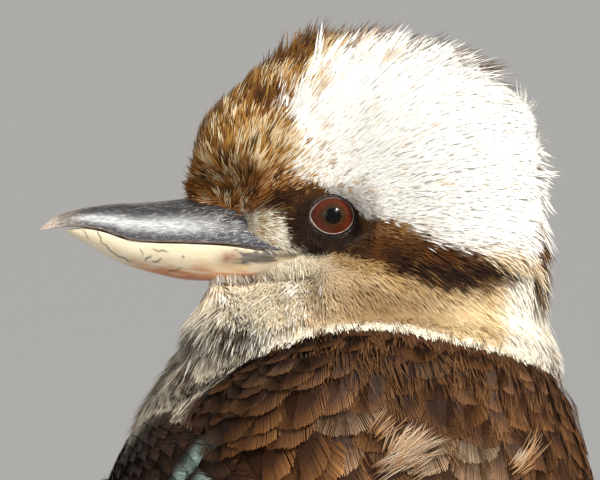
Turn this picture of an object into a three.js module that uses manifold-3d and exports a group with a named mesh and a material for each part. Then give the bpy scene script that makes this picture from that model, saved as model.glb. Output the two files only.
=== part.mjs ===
// A laughing kookaburra, life size and fluffed up, standing on the ground with its head
// turned to its left. Millimetres, +Z up, the body faces -X and its left side faces -Y.
// The bird is modelled as lofts and feather vanes, joined and parted with manifold-3d.
import * as THREE from 'three';
import { mergeVertices } from 'three/addons/utils/BufferGeometryUtils.js';
import Module from 'manifold-3d';

const wasm = await Module();
wasm.setup();
const { Manifold, Mesh: SolidMesh } = wasm;

// Driving dimensions, in millimetres and degrees
const seam = 0.3; // the gap that two touching pieces keep
const eyeHeight = 210; // the eyes above the ground
const headTurn = 45; // how far the head looks to the bird's left
const eyeAhead = 12; // the eyes ahead of the middle of the feathered head
const headCut = 180; // where the head meets the neck
const neckCut = 163; // where the neck meets the torso
const vaneThick = 0.6;
const feather = { open: 2.6, closeFrom: 0.62, tipThin: 0.6, tipSweep: 0.07 }; // the outline of a vane

// The torso from the neck to the rump: each row is a slice that spans from a point on the
// breast and belly line to a point on the back line.
// [share of the length, belly x, belly z, back x, back z, half width]
const torsoSlices = [
  [0.0, -24, 187, 30, 189, 25],
  [0.07, -47, 180, 51, 182, 43],
  [0.15, -59, 168, 57, 172, 51],
  [0.27, -76, 147, 59, 158, 57],
  [0.4, -85, 120, 66, 142, 61],
  [0.53, -76, 88, 72, 124, 62],
  [0.65, -50, 60, 79, 108, 57],
  [0.77, -8, 42, 87, 95, 46],
  [0.88, 42, 46, 94, 85, 33],
  [0.96, 80, 62, 99, 78, 20],
  [1.0, 92, 70, 100, 75, 9],
];
// The neck column: [height, middle ahead of the eyes, half length along the head, half width]
const neckSlices = [
  [150, -12, 46, 42],
  [162, -12, 52, 47],
  [172, -12, 53, 47.5],
  [180, -12, 52.5, 46.5],
  [186, -13, 49.5, 45],
  [192, -17, 43, 43],
  [198, -22, 36, 41],
  [204, -26, 30, 38],
  [209, -29, 22, 32],
];
// The feathered head from the nape to the forehead, measured from the eyes:
// [forward, top, widest height, bottom, half width]
const headSlices = [
  [-63, 14, -8, -30, 13],
  [-60, 26, -6, -42, 25],
  [-55, 34.5, -5, -48, 32.5],
  [-46, 41.5, -4, -50, 38.5],
  [-34, 47, -4, -50, 41.5],
  [-22, 49.5, -4, -48, 39.5],
  [-10, 51, -2, -45, 34],
  [0, 50.5, 0, -41, 28.5],
  [10, 47, 4, -37, 25],
  [20, 41.5, 8, -32, 22],
  [29, 35, 10, -28, 18.5],
  [36, 28.5, 11, -25, 15],
  [40, 20, 10, -17, 11],
  [42, 13, 8, 0, 5],
];
// The upper bill from the gape to the tip: [forward, ridge, cutting edge, half width]
const upperBill = [
  [10, 8.5, -9.8, 19.5],
  [17, 8.2, -9.9, 18.8],
  [28, 7, -8.4, 16.4],
  [43, 4.9, -7.8, 12.8],
  [52, 3.9, -7.6, 10.4],
  [58.5, 3.5, -7.1, 8.6],
  [64, 3.2, -4.9, 7],
  [73, 1.8, -3.3, 4.4],
  [79, 0, -3.6, 2.5],
  [82.5, -2.2, -4.2, 1.3],
  [84.4, -4.0, -4.6, 0.5],
];
// The lower bill: [forward, cutting edge, keel, half width]
const lowerBill = [
  [10, -10.3, -17, 18.6],
  [20, -10.4, -18, 17.4],
  [31, -9, -18.8, 15],
  [43, -8.4, -18.6, 12.2],
  [52, -8.2, -16.5, 9.8],
  [60, -7.2, -13.9, 7.6],
  [66, -5.2, -11.2, 6],
  [71, -4.0, -8.8, 4.3],
  [75, -4.1, -6.4, 2.5],
  [77, -4.3, -5, 0.9],
];
const nostril = { forward: 29, up: 0.4, long: 3.6, high: 1.1, deep: 1.6, slope: 16 };

const eye = { radius: 8.6, out: 17.6, lidRing: 6.9, lidTube: 1.3, lidOut: 23.4, lidSquash: 0.86 };

// The folded wing lies in a plane seen from the side: s runs from the bend towards the tip,
// and t runs up across the wing.
const wing = {
  bendX: -74, bendZ: 126, slope: 18, coreLength: 106, coreDepth: 8,
  half: 34, frontLength: 50, crownRadius: 72, edgeDrop: 2.8, sunk: 3, middle: 1,
};
// [s, how far out the wing's surface lies]
const wingOut = [
  [0, 41], [15, 53.5], [35, 62.5], [60, 67], [90, 66.5],
  [120, 58], [150, 46], [180, 35], [215, 25],
];
// Tiers of wing feathers, from the bend to the tip: t0 to t1 is where the roots stand
const wingTiers = [
  {
    count: 4, s: 14, t0: -19, t1: 22, turn: [-7, 2], lift: [-1.2, 3.4],
    feather: { length: 36, width: 19, rows: 3 },
  },
  {
    count: 5, s: 42, t0: -23, t1: 24, turn: [-5, 1], lift: [-1.4, 2.6],
    feather: { length: 38, width: 17, rows: 3 },
  },
  {
    count: 6, s: 66, t0: -23, t1: 24, turn: [-3, 0], lift: [-1.6, 1.8],
    feather: { length: 44, width: 15.5, rows: 3 },
  },
  {
    count: 7, s: 92, t0: -18, t1: 23, turn: [1, -4], lift: [-2.2, 0],
    feather: { length: 62, width: 15.5, rows: 3 },
  },
];
const tierBow = 5; // the middle of a tier stands this much further back than its ends
const primaries = {
  count: 5, s: 84, t: -17, rise: 1.9, shorter: 11, turn: 2.2, fan: 0.5, low: -7.2, layer: 0.95, tilt: 0.02,
  feather: { length: 121, width: 13, rows: 4, tip: 0.35 },
};

const tail = {
  x: 90, z: 77, slope: 14, droop: 0.00035, pairs: 6, turn: 0.8, spread: 0.9, root: 2.5, step: 1.43,
  fan: 1.17, layer: 0.95, shorter: 1.5,
  feather: { length: 150, width: 25, rows: 4, root: 0.35, tip: 0.6 },
};
// The coverts and the flesh under the tail's root: [along, half width, half depth]
const tailCore = [[-26, 15, 9], [-8, 18, 9], [12, 18, 7.5], [30, 16, 5], [44, 12, 2.6]];
const tailCoverts = { count: 5, fan: 14, spread: 20, feather: { length: 44, width: 13, rows: 3 } };

const leg = { x: 8, y: 25, ankleZ: 36, top: 62, tarsus: 3.3, footZ: 5 };
// [name, angle outwards from straight ahead, length]
const toes = [['inner', -20, 24], ['middle', 3, 31], ['outer', 20, 26], ['hind', 174, 17]];
const toe = { radius: 3.3, tip: 2.3, high: 2.5, claw: 9 };

// Small helpers
const rad = THREE.MathUtils.degToRad;

// Smooth value of every column of a table at x: a cubic through its rows.
function profile(table, x) {
  const last = table.length - 1;
  const at = Math.min(Math.max(x, table[0][0]), table[last][0]);
  let i = 0;
  while (i < last - 1 && table[i + 1][0] < at) i += 1;
  const width = table[i + 1][0] - table[i][0];
  const u = (at - table[i][0]) / width;
  const slope = (j, c) => {
    const a = Math.max(j - 1, 0);
    const b = Math.min(j + 1, last);
    return (table[b][c] - table[a][c]) / (table[b][0] - table[a][0]);
  };
  return table[i].slice(1).map((value, k) => {
    const c = k + 1;
    const next = table[i + 1][c];
    const m0 = slope(i, c) * width;
    const m1 = slope(i + 1, c) * width;
    return value * (1 + 2 * u) * (1 - u) ** 2 + next * u * u * (3 - 2 * u)
      + m0 * u * (1 - u) ** 2 - m1 * u * u * (1 - u);
  });
}

// A closed solid from rings of equally many points, each end closed by a fan.
function loft(rings) {
  const n = rings[0].length;
  const points = rings.flat();
  const triangles = [];
  for (let r = 0; r + 1 < rings.length; r += 1) {
    for (let i = 0; i < n; i += 1) {
      const a = r * n + i;
      const b = r * n + ((i + 1) % n);
      triangles.push(a, b, b + n, a, b + n, a + n);
    }
  }
  const capStart = points.length;
  points.push(middle(rings[0]), middle(rings[rings.length - 1]));
  const end = (rings.length - 1) * n;
  for (let i = 0; i < n; i += 1) {
    const j = (i + 1) % n;
    triangles.push(capStart, j, i, capStart + 1, end + i, end + j);
  }
  return solid(points, triangles);
}

function middle(ring) {
  return ring.reduce((sum, p) => sum.add(p), new THREE.Vector3()).divideScalar(ring.length);
}

// Points and triangles as a solid with its faces outwards.
function solid(points, triangles) {
  let volume = 0;
  for (let i = 0; i < triangles.length; i += 3) {
    const [a, b, c] = [points[triangles[i]], points[triangles[i + 1]], points[triangles[i + 2]]];
    volume += a.dot(new THREE.Vector3().crossVectors(b, c));
  }
  const facing = [...triangles];
  for (let i = 0; volume < 0 && i < facing.length; i += 3) {
    [facing[i + 1], facing[i + 2]] = [facing[i + 2], facing[i + 1]];
  }
  return new Manifold(new SolidMesh({
    numProp: 3,
    vertProperties: Float32Array.from(points.flatMap((p) => [p.x, p.y, p.z])),
    triVerts: Uint32Array.from(facing),
  }));
}

// A three.js geometry as a solid, moved by a matrix.
function shaped(geometry, matrix = new THREE.Matrix4()) {
  const bare = geometry.clone();
  bare.deleteAttribute('normal');
  bare.deleteAttribute('uv');
  bare.applyMatrix4(matrix);
  const merged = mergeVertices(bare, 1e-4);
  const at = merged.getAttribute('position');
  const points = Array.from({ length: at.count }, (_, i) => new THREE.Vector3().fromBufferAttribute(at, i));
  return solid(points, Array.from(merged.index.array));
}

// The left piece as its mirror image on the right.
function mirrored(piece) {
  const mesh = piece.getMesh();
  const points = [];
  for (let i = 0; i < mesh.vertProperties.length; i += mesh.numProp) {
    const [x, y, z] = mesh.vertProperties.slice(i, i + 3);
    points.push(new THREE.Vector3(x, -y, z));
  }
  return solid(points, Array.from(mesh.triVerts));
}

const joined = (pieces) => pieces.reduce((whole, piece) => whole.add(piece));

// Only the largest closed surface of a piece.
function largest(piece) {
  const found = piece.decompose();
  return found.reduce((best, one) => (one.volume() > best.volume() ? one : best));
}

// A block between two corners.
function block(low, high) {
  const size = high.clone().sub(low);
  const move = new THREE.Matrix4().setPosition(low.clone().add(high).multiplyScalar(0.5));
  return shaped(new THREE.BoxGeometry(size.x, size.y, size.z), move);
}
const far = 500;
const between = (low, high) => block(new THREE.Vector3(-far, -far, low), new THREE.Vector3(far, far, high));

// A rounded oval: the point at an angle, squarer as power rises.
function oval(angle, power) {
  const c = Math.cos(angle);
  const s = Math.sin(angle);
  return [Math.sign(c) * Math.abs(c) ** (2 / power), Math.sign(s) * Math.abs(s) ** (2 / power)];
}

// Evenly spread shares from 0 to 1.
const shares = (count) => Array.from({ length: count }, (_, i) => i / (count - 1));
const turns = (count) => Array.from({ length: count }, (_, i) => (2 * Math.PI * i) / count);

// Feathers
// A feather vane with its shaft along u. place(u, v, h) puts a point on what carries it.
// Both faces are split into the same triangles.
function vane(place, { length, width, rows, root = 0.5, tip = 0.45 }) {
  const top = [];
  const under = [];
  for (const k of shares(rows + 1)) {
    const open = Math.min(1, root + k * feather.open);
    const closing = Math.max(0, (k - feather.closeFrom) / (1 - feather.closeFrom));
    const half = (width / 2) * open * (1 - (1 - tip) * closing ** 2);
    const thick = vaneThick * (k === 1 ? feather.tipThin : 1);
    for (const side of [-1, 0, 1]) {
      const reach = k * length * (side ? 1 - feather.tipSweep * k : 1);
      top.push(place(reach, side * half, thick));
      under.push(place(reach, side * half, 0));
    }
  }
  return sheetSolid(top, under, rows + 1, 3);
}

// A closed thin solid from two like grids of points, one over the other.
function sheetSolid(top, under, rows, columns) {
  const points = [...top, ...under];
  const below = top.length;
  const triangles = [];
  for (let r = 0; r + 1 < rows; r += 1) {
    for (let c = 0; c + 1 < columns; c += 1) {
      const a = r * columns + c;
      const [b, d, e] = [a + 1, a + columns, a + columns + 1];
      triangles.push(a, b, e, a, e, d);
      triangles.push(below + a, below + e, below + b, below + a, below + d, below + e);
    }
  }
  const rim = [];
  for (let c = 0; c < columns; c += 1) rim.push(c);
  for (let r = 1; r < rows; r += 1) rim.push(r * columns + columns - 1);
  for (let c = columns - 2; c >= 0; c -= 1) rim.push((rows - 1) * columns + c);
  for (let r = rows - 2; r > 0; r -= 1) rim.push(r * columns);
  rim.forEach((a, i) => {
    const b = rim[(i + 1) % rim.length];
    triangles.push(a, below + b, b, a, below + a, below + b);
  });
  return solid(points, triangles);
}

// A pointed lock of crown feathers: a flat blade that starts sunk in the coat and tapers to its tip.
function blade(place, { length, width, thick }) {
  const rings = [[0, 0.4, 0.8], [0.55, 0.5, 1], [1, 0.08, 0.35]].map(([k, wide, deep]) => [
    place(k * length, wide * width, 0),
    place(k * length, 0, deep * thick),
    place(k * length, -wide * width, 0),
    place(k * length, 0, -deep * thick * 0.5),
  ]);
  return loft(rings);
}

// Where a feather stands on a surface: at(a, b) gives its points, and the feather points
// towards a rising by da and b rising by db.
function seat(at, a, b, da, db, { sink, rise, droop = 0 }) {
  const small = 0.002;
  const base = at(a, b);
  const alongA = at(a + small, b).sub(base);
  const alongB = at(a, b + small).sub(base);
  const out = new THREE.Vector3().crossVectors(alongA, alongB).normalize();
  const lie = at(a + da * small, b + db * small).sub(base).normalize();
  const across = new THREE.Vector3().crossVectors(out, lie).normalize();
  return (u, v, h) => base.clone()
    .addScaledVector(lie, u)
    .addScaledVector(across, v)
    .addScaledVector(out, h - sink + u * Math.tan(rad(rise)) - droop * u * u);
}

// The torso
const torsoPower = 2.15;
function torsoPoint(share, angle, grown = 0) {
  const [bellyX, bellyZ, backX, backZ, halfWidth] = profile(torsoSlices, share);
  const [along, out] = oval(angle, torsoPower);
  const reach = Math.hypot(backX - bellyX, backZ - bellyZ) / 2;
  const x = (bellyX + backX) / 2 + ((backX - bellyX) / 2) * along * (1 + grown / reach);
  const z = (bellyZ + backZ) / 2 + ((backZ - bellyZ) / 2) * along * (1 + grown / reach);
  return new THREE.Vector3(x, -(halfWidth + grown) * out, z);
}
const torsoLoft = (grown = 0) => loft(
  shares(19).map((share) => turns(30).map((angle) => torsoPoint(share, angle, grown))),
);

// The neck and the head share one frame, turned to the bird's left
const ahead = new THREE.Vector3(-Math.cos(rad(headTurn)), -Math.sin(rad(headTurn)), 0);
const left = new THREE.Vector3(0, 0, 1).cross(ahead);
const browMiddle = ahead.clone().multiplyScalar(eyeAhead).setZ(eyeHeight);
const headSpot = (forward, aside, up) => browMiddle.clone()
  .addScaledVector(ahead, forward)
  .addScaledVector(left, aside)
  .add(new THREE.Vector3(0, 0, up));

function neckLoft(grown = 0) {
  return loft(neckSlices.map(([height, mid, long, wide]) => turns(28).map((angle) => {
    const [along, out] = oval(angle, 2);
    return headSpot(mid + along * (long + grown), out * (wide + grown), height - eyeHeight);
  })));
}

const headPower = 2.2;
function headPoint(forward, angle) {
  const [top, widest, bottom, halfWidth] = profile(headSlices, forward);
  const [out, up] = oval(angle, headPower);
  return headSpot(forward, halfWidth * out, widest + up * (up > 0 ? top - widest : widest - bottom));
}
const headStations = [-63, -61.5, -58, -52, -44, -34, -24, -14, -4, 6, 15, 24, 31, 36, 39.5, 42];
const headRing = (forward) => turns(24).map((angle) => headPoint(forward, angle));
const headLoft = () => loft(headStations.map(headRing));

// Rows of raised crown and nape feathers: [forward, count, length, width, rise]
const crestRows = [
  [31, 3, 13, 10, 8],
  [19, 4, 16, 13, 12],
  [5, 5, 19, 15, 14],
  [-10, 5, 21, 17, 14],
  [-25, 6, 21, 17, 13],
  [-39, 6, 19, 16, 12],
  [-50, 6, 17, 15, 12],
];
function crest() {
  return crestRows.flatMap(([forward, count, length, width, rise], row) => shares(count).map((k, i) => {
    const uneven = Math.sin(row * 5.1 + i * 2.7);
    const angle = rad(90 + (k - 0.5) * (70 + 60 * Math.min(1, (35 - forward) / 50)) + (row % 2 ? 6 : -6));
    const along = (a, b) => headPoint(forward - a, angle + b);
    const place = seat(along, 0, 0, 1, 0, { sink: 1.8, rise: rise + 3 * uneven, droop: 0.002 });
    return blade(place, { length: length + 2.5 * uneven, width, thick: 1.2 });
  }));
}

// The bill
// A bill half from its rows: rounded on the outer side and slightly hollow where the halves meet.
function billLoft(table, upwards, grown = 0) {
  const root = table[0][0];
  const reach = table[table.length - 1][0] - root;
  const stations = shares(13).map((k) => root + reach * k ** 0.85);
  if (grown) {
    stations.unshift(root - grown);
    stations.push(root + reach + grown);
  }
  const sign = upwards ? 1 : -1;
  return loft(stations.map((forward) => {
    const [outer, inner, halfWidth] = upwards ? profile(table, forward) : swapped(profile(table, forward));
    const arch = shares(9).map((part) => {
      const [side, high] = oval(Math.PI * part, 1.8);
      return new THREE.Vector2(side * halfWidth, inner + high * (outer - inner));
    });
    const floor = [-0.6, 0, 0.6].map((side) => new THREE.Vector2(
      side * halfWidth, inner + sign * 0.02 * halfWidth * (1 - side * side),
    ));
    return widened([...arch, ...floor], grown * sign).map((p) => headSpot(forward, p.x, p.y));
  }));
}

// A ring of flat points with every side moved out by the same amount.
function widened(ring, by) {
  const square = (from, to) => new THREE.Vector2(to.y - from.y, from.x - to.x).normalize();
  return ring.map((p, i) => {
    const first = square(ring[(i + ring.length - 1) % ring.length], p);
    const second = square(p, ring[(i + 1) % ring.length]);
    const out = first.clone().add(second).normalize();
    return p.clone().addScaledVector(out, by / Math.max(0.4, out.dot(first)));
  });
}
const swapped = ([edge, keel, halfWidth]) => [keel, edge, halfWidth];

function nostrilCut(side) {
  const { forward, up, long, high, deep, slope } = nostril;
  const out = profile(upperBill, forward)[2] * 0.86;
  const matrix = new THREE.Matrix4().makeBasis(ahead, left, new THREE.Vector3(0, 0, 1))
    .setPosition(headSpot(forward, side * out, up))
    .multiply(new THREE.Matrix4().makeRotationY(rad(slope)))
    .scale(new THREE.Vector3(long, deep, high));
  return shaped(new THREE.SphereGeometry(1, 10, 6), matrix);
}

// The eyes
function eyeBall(side, grown = 0) {
  const matrix = new THREE.Matrix4().setPosition(headSpot(0, side * eye.out, 0));
  return shaped(new THREE.SphereGeometry(eye.radius + grown, 18, 10), matrix);
}
function lidRing(side) {
  const matrix = new THREE.Matrix4().makeBasis(ahead, new THREE.Vector3(0, 0, 1), left)
    .setPosition(headSpot(0, side * eye.lidOut, 0))
    .scale(new THREE.Vector3(1, eye.lidSquash, 1));
  return shaped(new THREE.TorusGeometry(eye.lidRing, eye.lidTube, 5, 18), matrix);
}
// The hollow that the feathers leave round each eye, open outwards.
function eyeHollow(side) {
  const matrix = new THREE.Matrix4().makeBasis(ahead, new THREE.Vector3(0, 0, 1), left)
    .setPosition(headSpot(0, side * (eye.lidOut + 6.2), 0))
    .scale(new THREE.Vector3(1.1, 0.92, 1));
  return shaped(new THREE.SphereGeometry(10, 16, 9), matrix);
}

// The wings
const wingAlong = [Math.cos(rad(wing.slope)), -Math.sin(rad(wing.slope))];
function wingSpot(s, t, h) {
  const x = wing.bendX + s * wingAlong[0] - t * wingAlong[1];
  const z = wing.bendZ + s * wingAlong[1] + t * wingAlong[0];
  const out = profile(wingOut, s)[0] - (t * t) / (2 * wing.crownRadius) + h;
  return new THREE.Vector3(x, -out, z);
}

// The arm and the coverts that its feathers grow from, round in front.
function wingCore() {
  const rows = [0, 3, 9, 18, 30, 45, 62, 80, 95, wing.coreLength];
  return loft(rows.map((s) => {
    const ahead = Math.max(0, 1 - s / wing.frontLength);
    const back = Math.max(0, (s - 60) / (wing.coreLength - 60));
    const half = wing.half * Math.sqrt(Math.max(0.03, 1 - ahead ** 2)) * (1 - 0.2 * back);
    const depth = wing.sunk + wing.coreDepth * (1 - 0.35 * back);
    const outer = shares(9).map((k) => {
      const across = 2 * k - 1;
      return wingSpot(s, half * across + wing.middle, -wing.edgeDrop * across ** 4 - 2 * ahead ** 8);
    });
    const inner = shares(5).map((k) => wingSpot(s, 0.88 * half * (1 - 2 * k) + wing.middle, -depth));
    return [...outer, ...inner];
  }));
}

// A wing feather that turns up from the wing's line by an angle, lifts from its root and is
// tilted so that it lies over the feather below it.
function wingVane(s, t, turn, lift, size, tilt) {
  const [c, d] = [Math.cos(rad(turn)), Math.sin(rad(turn))];
  return vane((u, v, h) => {
    const raised = lift[0] + (lift[1] - lift[0]) * Math.min(1, (1.8 * u) / size.length);
    return wingSpot(s + u * c - v * d, t + u * d + v * c, raised + h - tilt * v);
  }, size);
}

function wingLeft() {
  const vanes = wingTiers.flatMap((tier) => {
    const tilt = ((vaneThick + seam) * (tier.count - 1)) / (tier.t1 - tier.t0);
    return shares(tier.count).map((k) => {
      const t = tier.t0 + (tier.t1 - tier.t0) * k;
      const turn = tier.turn[0] + (tier.turn[1] - tier.turn[0]) * k;
      return wingVane(tier.s + tierBow * Math.sin(Math.PI * k), t, turn, tier.lift, tier.feather, tilt);
    });
  });
  for (let i = 0; i < primaries.count; i += 1) {
    const low = primaries.low + i * primaries.layer;
    const size = { ...primaries.feather, length: primaries.feather.length - primaries.shorter * i };
    const t = primaries.t + primaries.rise * i;
    const turn = primaries.turn + primaries.fan * i;
    vanes.push(wingVane(primaries.s, t, turn, [low, low], size, primaries.tilt));
  }
  return joined([wingCore(), ...vanes]);
}

// The tail
const tailAlong = [Math.cos(rad(tail.slope)), -Math.sin(rad(tail.slope))];
const tailSpot = (u, v, h) => new THREE.Vector3(
  tail.x + u * tailAlong[0] - h * tailAlong[1],
  v,
  tail.z + u * tailAlong[1] + h * tailAlong[0] - tail.droop * Math.max(0, u) ** 2,
);

// A tail feather: the outer ones lie under the inner ones and turn a little outwards.
function tailVane(side, order) {
  const turn = rad(tail.spread * order + tail.turn) * side;
  const [c, d] = [Math.cos(turn), Math.sin(turn)];
  const layer = 1 + tail.layer * (order + (side > 0 ? 0.5 : 0));
  const size = { ...tail.feather, length: tail.feather.length - tail.shorter * order ** 1.6 };
  return vane((u, v, h) => {
    const apart = tail.root + order * (tail.step + tail.fan * Math.min(1, u / 60));
    return tailSpot(u * c - v * d, side * apart + u * d + v * c, h - layer);
  }, size);
}

function tailRoot() {
  return loft(tailCore.map(([u, wide, deep]) => turns(16).map((angle) => {
    const [out, up] = oval(angle, 2.2);
    return tailSpot(u, wide * out, up * deep - 3.5);
  })));
}

// One of the short feathers over the tail's root, k from 0 to 1 across it.
function tailCovert(k) {
  const turn = rad(tailCoverts.fan * (k - 0.5));
  const [c, d] = [Math.cos(turn), Math.sin(turn)];
  return vane((u, v, h) => {
    const across = tailCoverts.spread * (k - 0.5) + u * d + v * c;
    return tailSpot(2 + u * c - v * d, across, h + 2.2 - 0.035 * u - 3 * Math.abs(k - 0.5));
  }, tailCoverts.feather);
}

function tailSolid() {
  const pairs = [...Array(tail.pairs).keys()];
  const vanes = pairs.flatMap((order) => [tailVane(-1, order), tailVane(1, order)]);
  return joined([tailRoot(), ...vanes, ...shares(tailCoverts.count).map(tailCovert)]);
}

// The legs
// A tapered limb along a curve, from [point, radius] pairs.
function limb(stations, sides) {
  const curve = new THREE.CatmullRomCurve3(stations.map(([point]) => point));
  const rings = shares(stations.length * 2 - 1).map((k) => {
    const centre = curve.getPoint(k);
    const along = curve.getTangent(k);
    const side = new THREE.Vector3(0, 1, 0).cross(along).normalize();
    const up = new THREE.Vector3().crossVectors(along, side).normalize();
    const place = k * (stations.length - 1);
    const i = Math.min(Math.floor(place), stations.length - 2);
    const radius = stations[i][1] + (stations[i + 1][1] - stations[i][1]) * (place - i);
    return turns(sides).map((angle) => centre.clone()
      .addScaledVector(side, Math.cos(angle) * radius)
      .addScaledVector(up, Math.sin(angle) * radius));
  });
  return loft(rings);
}

const leftLeg = (x, aside, z) => new THREE.Vector3(leg.x + x, -leg.y - aside, z);

function thigh() {
  return limb([
    [leftLeg(-6, -3, leg.top), 15],
    [leftLeg(-1, -1, 50), 12.5],
    [leftLeg(6, 0, 41), 8],
    [leftLeg(9, 0, leg.ankleZ - 3), 4.6],
  ], 12);
}

function shank(grown = 0) {
  return limb([
    [leftLeg(7, 0, leg.ankleZ + 6 + grown), leg.tarsus + 0.5 + grown],
    [leftLeg(8.5, 0, leg.ankleZ - 4), leg.tarsus + 0.4 + grown],
    [leftLeg(4, 0, 18), leg.tarsus + grown],
    [leftLeg(0, 0, leg.footZ), leg.tarsus + 0.9 + grown],
    [leftLeg(-1.5, 0, 2.4), leg.tarsus + grown],
  ], 8);
}

const foot = () => joined([shank(), ...toes.map(([, angle, length]) => toeSolid(angle, length))]);

function toeSpot(angle, reach, z) {
  return leftLeg(-reach * Math.cos(rad(angle)), reach * Math.sin(rad(angle)), z);
}

function toeSolid(angle, length) {
  return alongGround(angle, [
    [0, toe.high + 1.2, toe.radius],
    [length * 0.35, toe.high + 0.5, toe.radius],
    [length * 0.7, toe.high + 0.3, toe.radius * 0.85],
    [length, toe.high, toe.tip],
  ], 8);
}

function clawSolid(angle, length) {
  const from = length + seam;
  return alongGround(angle, [
    [from, toe.high, toe.tip * 0.8],
    [from + toe.claw * 0.4, toe.high + 0.4, toe.tip * 0.62],
    [from + toe.claw * 0.8, toe.high - 0.4, toe.tip * 0.36],
    [from + toe.claw, toe.high - 1.5, toe.tip * 0.12],
  ], 6);
}

// A limb along the ground in one direction, with upright rings: [reach, height, radius].
function alongGround(angle, rows, sides) {
  return loft(rows.map(([reach, height, radius]) => turns(sides).map((turn) => {
    const centre = toeSpot(angle, reach, height + Math.sin(turn) * radius);
    const across = radius * Math.cos(turn);
    return centre.add(new THREE.Vector3(across * Math.sin(rad(angle)), across * Math.cos(rad(angle)), 0));
  })));
}

// The pieces, parted from each other
const coat = { head: 0xd8cdb8, neck: 0xcbbca0, torso: 0x7a5a3c, wing: 0x4a3423, tail: 0x8a5a34 };
const horn = { upper: 0x2f3138, lower: 0xd9b48a, foot: 0x8b8068, claw: 0x2a2624, eye: 0x5a2c1c };
const bird = new THREE.Group();
function add(name, piece, colour, roughness = 0.8) {
  const mesh = largest(piece).getMesh();
  const geometry = new THREE.BufferGeometry();
  geometry.setAttribute('position', new THREE.BufferAttribute(Float32Array.from(mesh.vertProperties), 3));
  geometry.setIndex(Array.from(mesh.triVerts));
  const made = new THREE.Mesh(geometry, new THREE.MeshStandardMaterial({ color: colour, roughness }));
  made.name = name;
  bird.add(made);
}

const both = [['left', 1], ['right', -1]];
const upper = billLoft(upperBill, true).subtract(joined(both.map(([, side]) => nostrilCut(side))));
const lower = billLoft(lowerBill, false);
const mouth = joined([billLoft(upperBill, true, seam), billLoft(lowerBill, false, seam)]);

const flesh = joined([torsoLoft(), neckLoft(), headLoft()]);
const headUp = between(headCut + seam / 2, far);
const head = joined([flesh, ...crest()])
  .intersect(headUp)
  .subtract(joined(both.map(([, side]) => eyeHollow(side))))
  .add(joined(both.map(([, side]) => lidRing(side))))
  .subtract(joined(both.map(([, side]) => eyeBall(side, seam))))
  .subtract(mouth);
const neck = flesh.intersect(between(neckCut + seam / 2, headCut - seam / 2));
const torso = flesh.intersect(between(-far, neckCut - seam / 2));

const grownFlesh = joined([torsoLoft(seam), neckLoft(seam)]);
const wingLeftSolid = wingLeft().subtract(grownFlesh);
const tailWhole = tailSolid().subtract(grownFlesh);
const thighLeft = thigh().subtract(grownFlesh).subtract(shank(seam));
const footLeft = foot().intersect(between(0, far));

add('head', head, coat.head);
add('neck', neck, coat.neck);
add('torso', torso, coat.torso);
add('tail', tailWhole, coat.tail);
add('bill_upper', upper, horn.upper, 0.35);
add('bill_lower', lower, horn.lower, 0.35);
for (const [name, side] of both) {
  const own = (piece) => (side > 0 ? piece : mirrored(piece));
  add(`eye_${name}`, eyeBall(side), horn.eye, 0.1);
  add(`wing_${name}`, own(wingLeftSolid), coat.wing);
  add(`thigh_${name}`, own(thighLeft), coat.neck);
  add(`foot_${name}`, own(footLeft), horn.foot, 0.6);
  for (const [toeName, angle, length] of toes) {
    add(`claw_${name}_${toeName}`, own(clawSolid(angle, length)), horn.claw, 0.4);
  }
}

// The origin is on the ground under the middle of the bird.
const extent = new THREE.Box3().setFromObject(bird);
const centre = extent.getCenter(new THREE.Vector3());
bird.position.set(-centre.x, -centre.y, 0);

export default bird;
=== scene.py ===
import bpy
import math
import mathutils
import numpy as np
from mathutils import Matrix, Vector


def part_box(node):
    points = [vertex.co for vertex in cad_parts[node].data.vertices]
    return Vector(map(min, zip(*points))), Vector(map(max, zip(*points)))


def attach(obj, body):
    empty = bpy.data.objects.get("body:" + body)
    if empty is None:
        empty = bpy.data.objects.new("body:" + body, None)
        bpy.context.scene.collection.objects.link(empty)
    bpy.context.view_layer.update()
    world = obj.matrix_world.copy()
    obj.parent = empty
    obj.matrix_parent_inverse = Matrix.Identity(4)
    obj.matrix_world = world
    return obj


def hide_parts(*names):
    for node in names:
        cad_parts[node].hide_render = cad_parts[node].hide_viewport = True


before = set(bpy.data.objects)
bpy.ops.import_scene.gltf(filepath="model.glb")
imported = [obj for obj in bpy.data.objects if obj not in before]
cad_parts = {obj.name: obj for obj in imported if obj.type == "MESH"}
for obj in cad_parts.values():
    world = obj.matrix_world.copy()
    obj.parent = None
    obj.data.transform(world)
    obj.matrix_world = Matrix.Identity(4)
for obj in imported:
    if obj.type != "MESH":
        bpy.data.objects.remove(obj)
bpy.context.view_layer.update()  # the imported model: bodies, nodes, joints and record
print("frame loaded:", len(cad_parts), "nodes")

# Shapes are worked out in millimetres with the bird's beak side towards -x, its left towards -y and z up.
# The head is turned by headTurn, so it has its own three directions: f ahead of the eyes, l to its left, u above them.
millimetre = 0.001
headTurn = math.radians(45)
eyeHeight = 210
eyeAhead = 12
ahead = np.array([-math.cos(headTurn), -math.sin(headTurn), 0])
leftward = np.array([math.sin(headTurn), -math.cos(headTurn), 0])
upward = np.array([0, 0, 1.0])


# A point of the head from f, l and u: f and l along the head's own directions, u above the eyes.
def headSpot(f, l, u):
    f, l, u = np.broadcast_arrays(np.asarray(f, float), np.asarray(l, float), np.asarray(u, float))
    return ahead * (eyeAhead + f)[..., None] + leftward * l[..., None] + upward * (eyeHeight + u)[..., None]


# The reverse of headSpot: each coordinate is the distance along one of the head's directions.
def headCoords(points):
    return points @ ahead - eyeAhead, points @ leftward, points[..., 2] - eyeHeight


def boxMiddle(node):
    low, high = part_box(node)
    return (np.array(low) + np.array(high)) / 2


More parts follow.
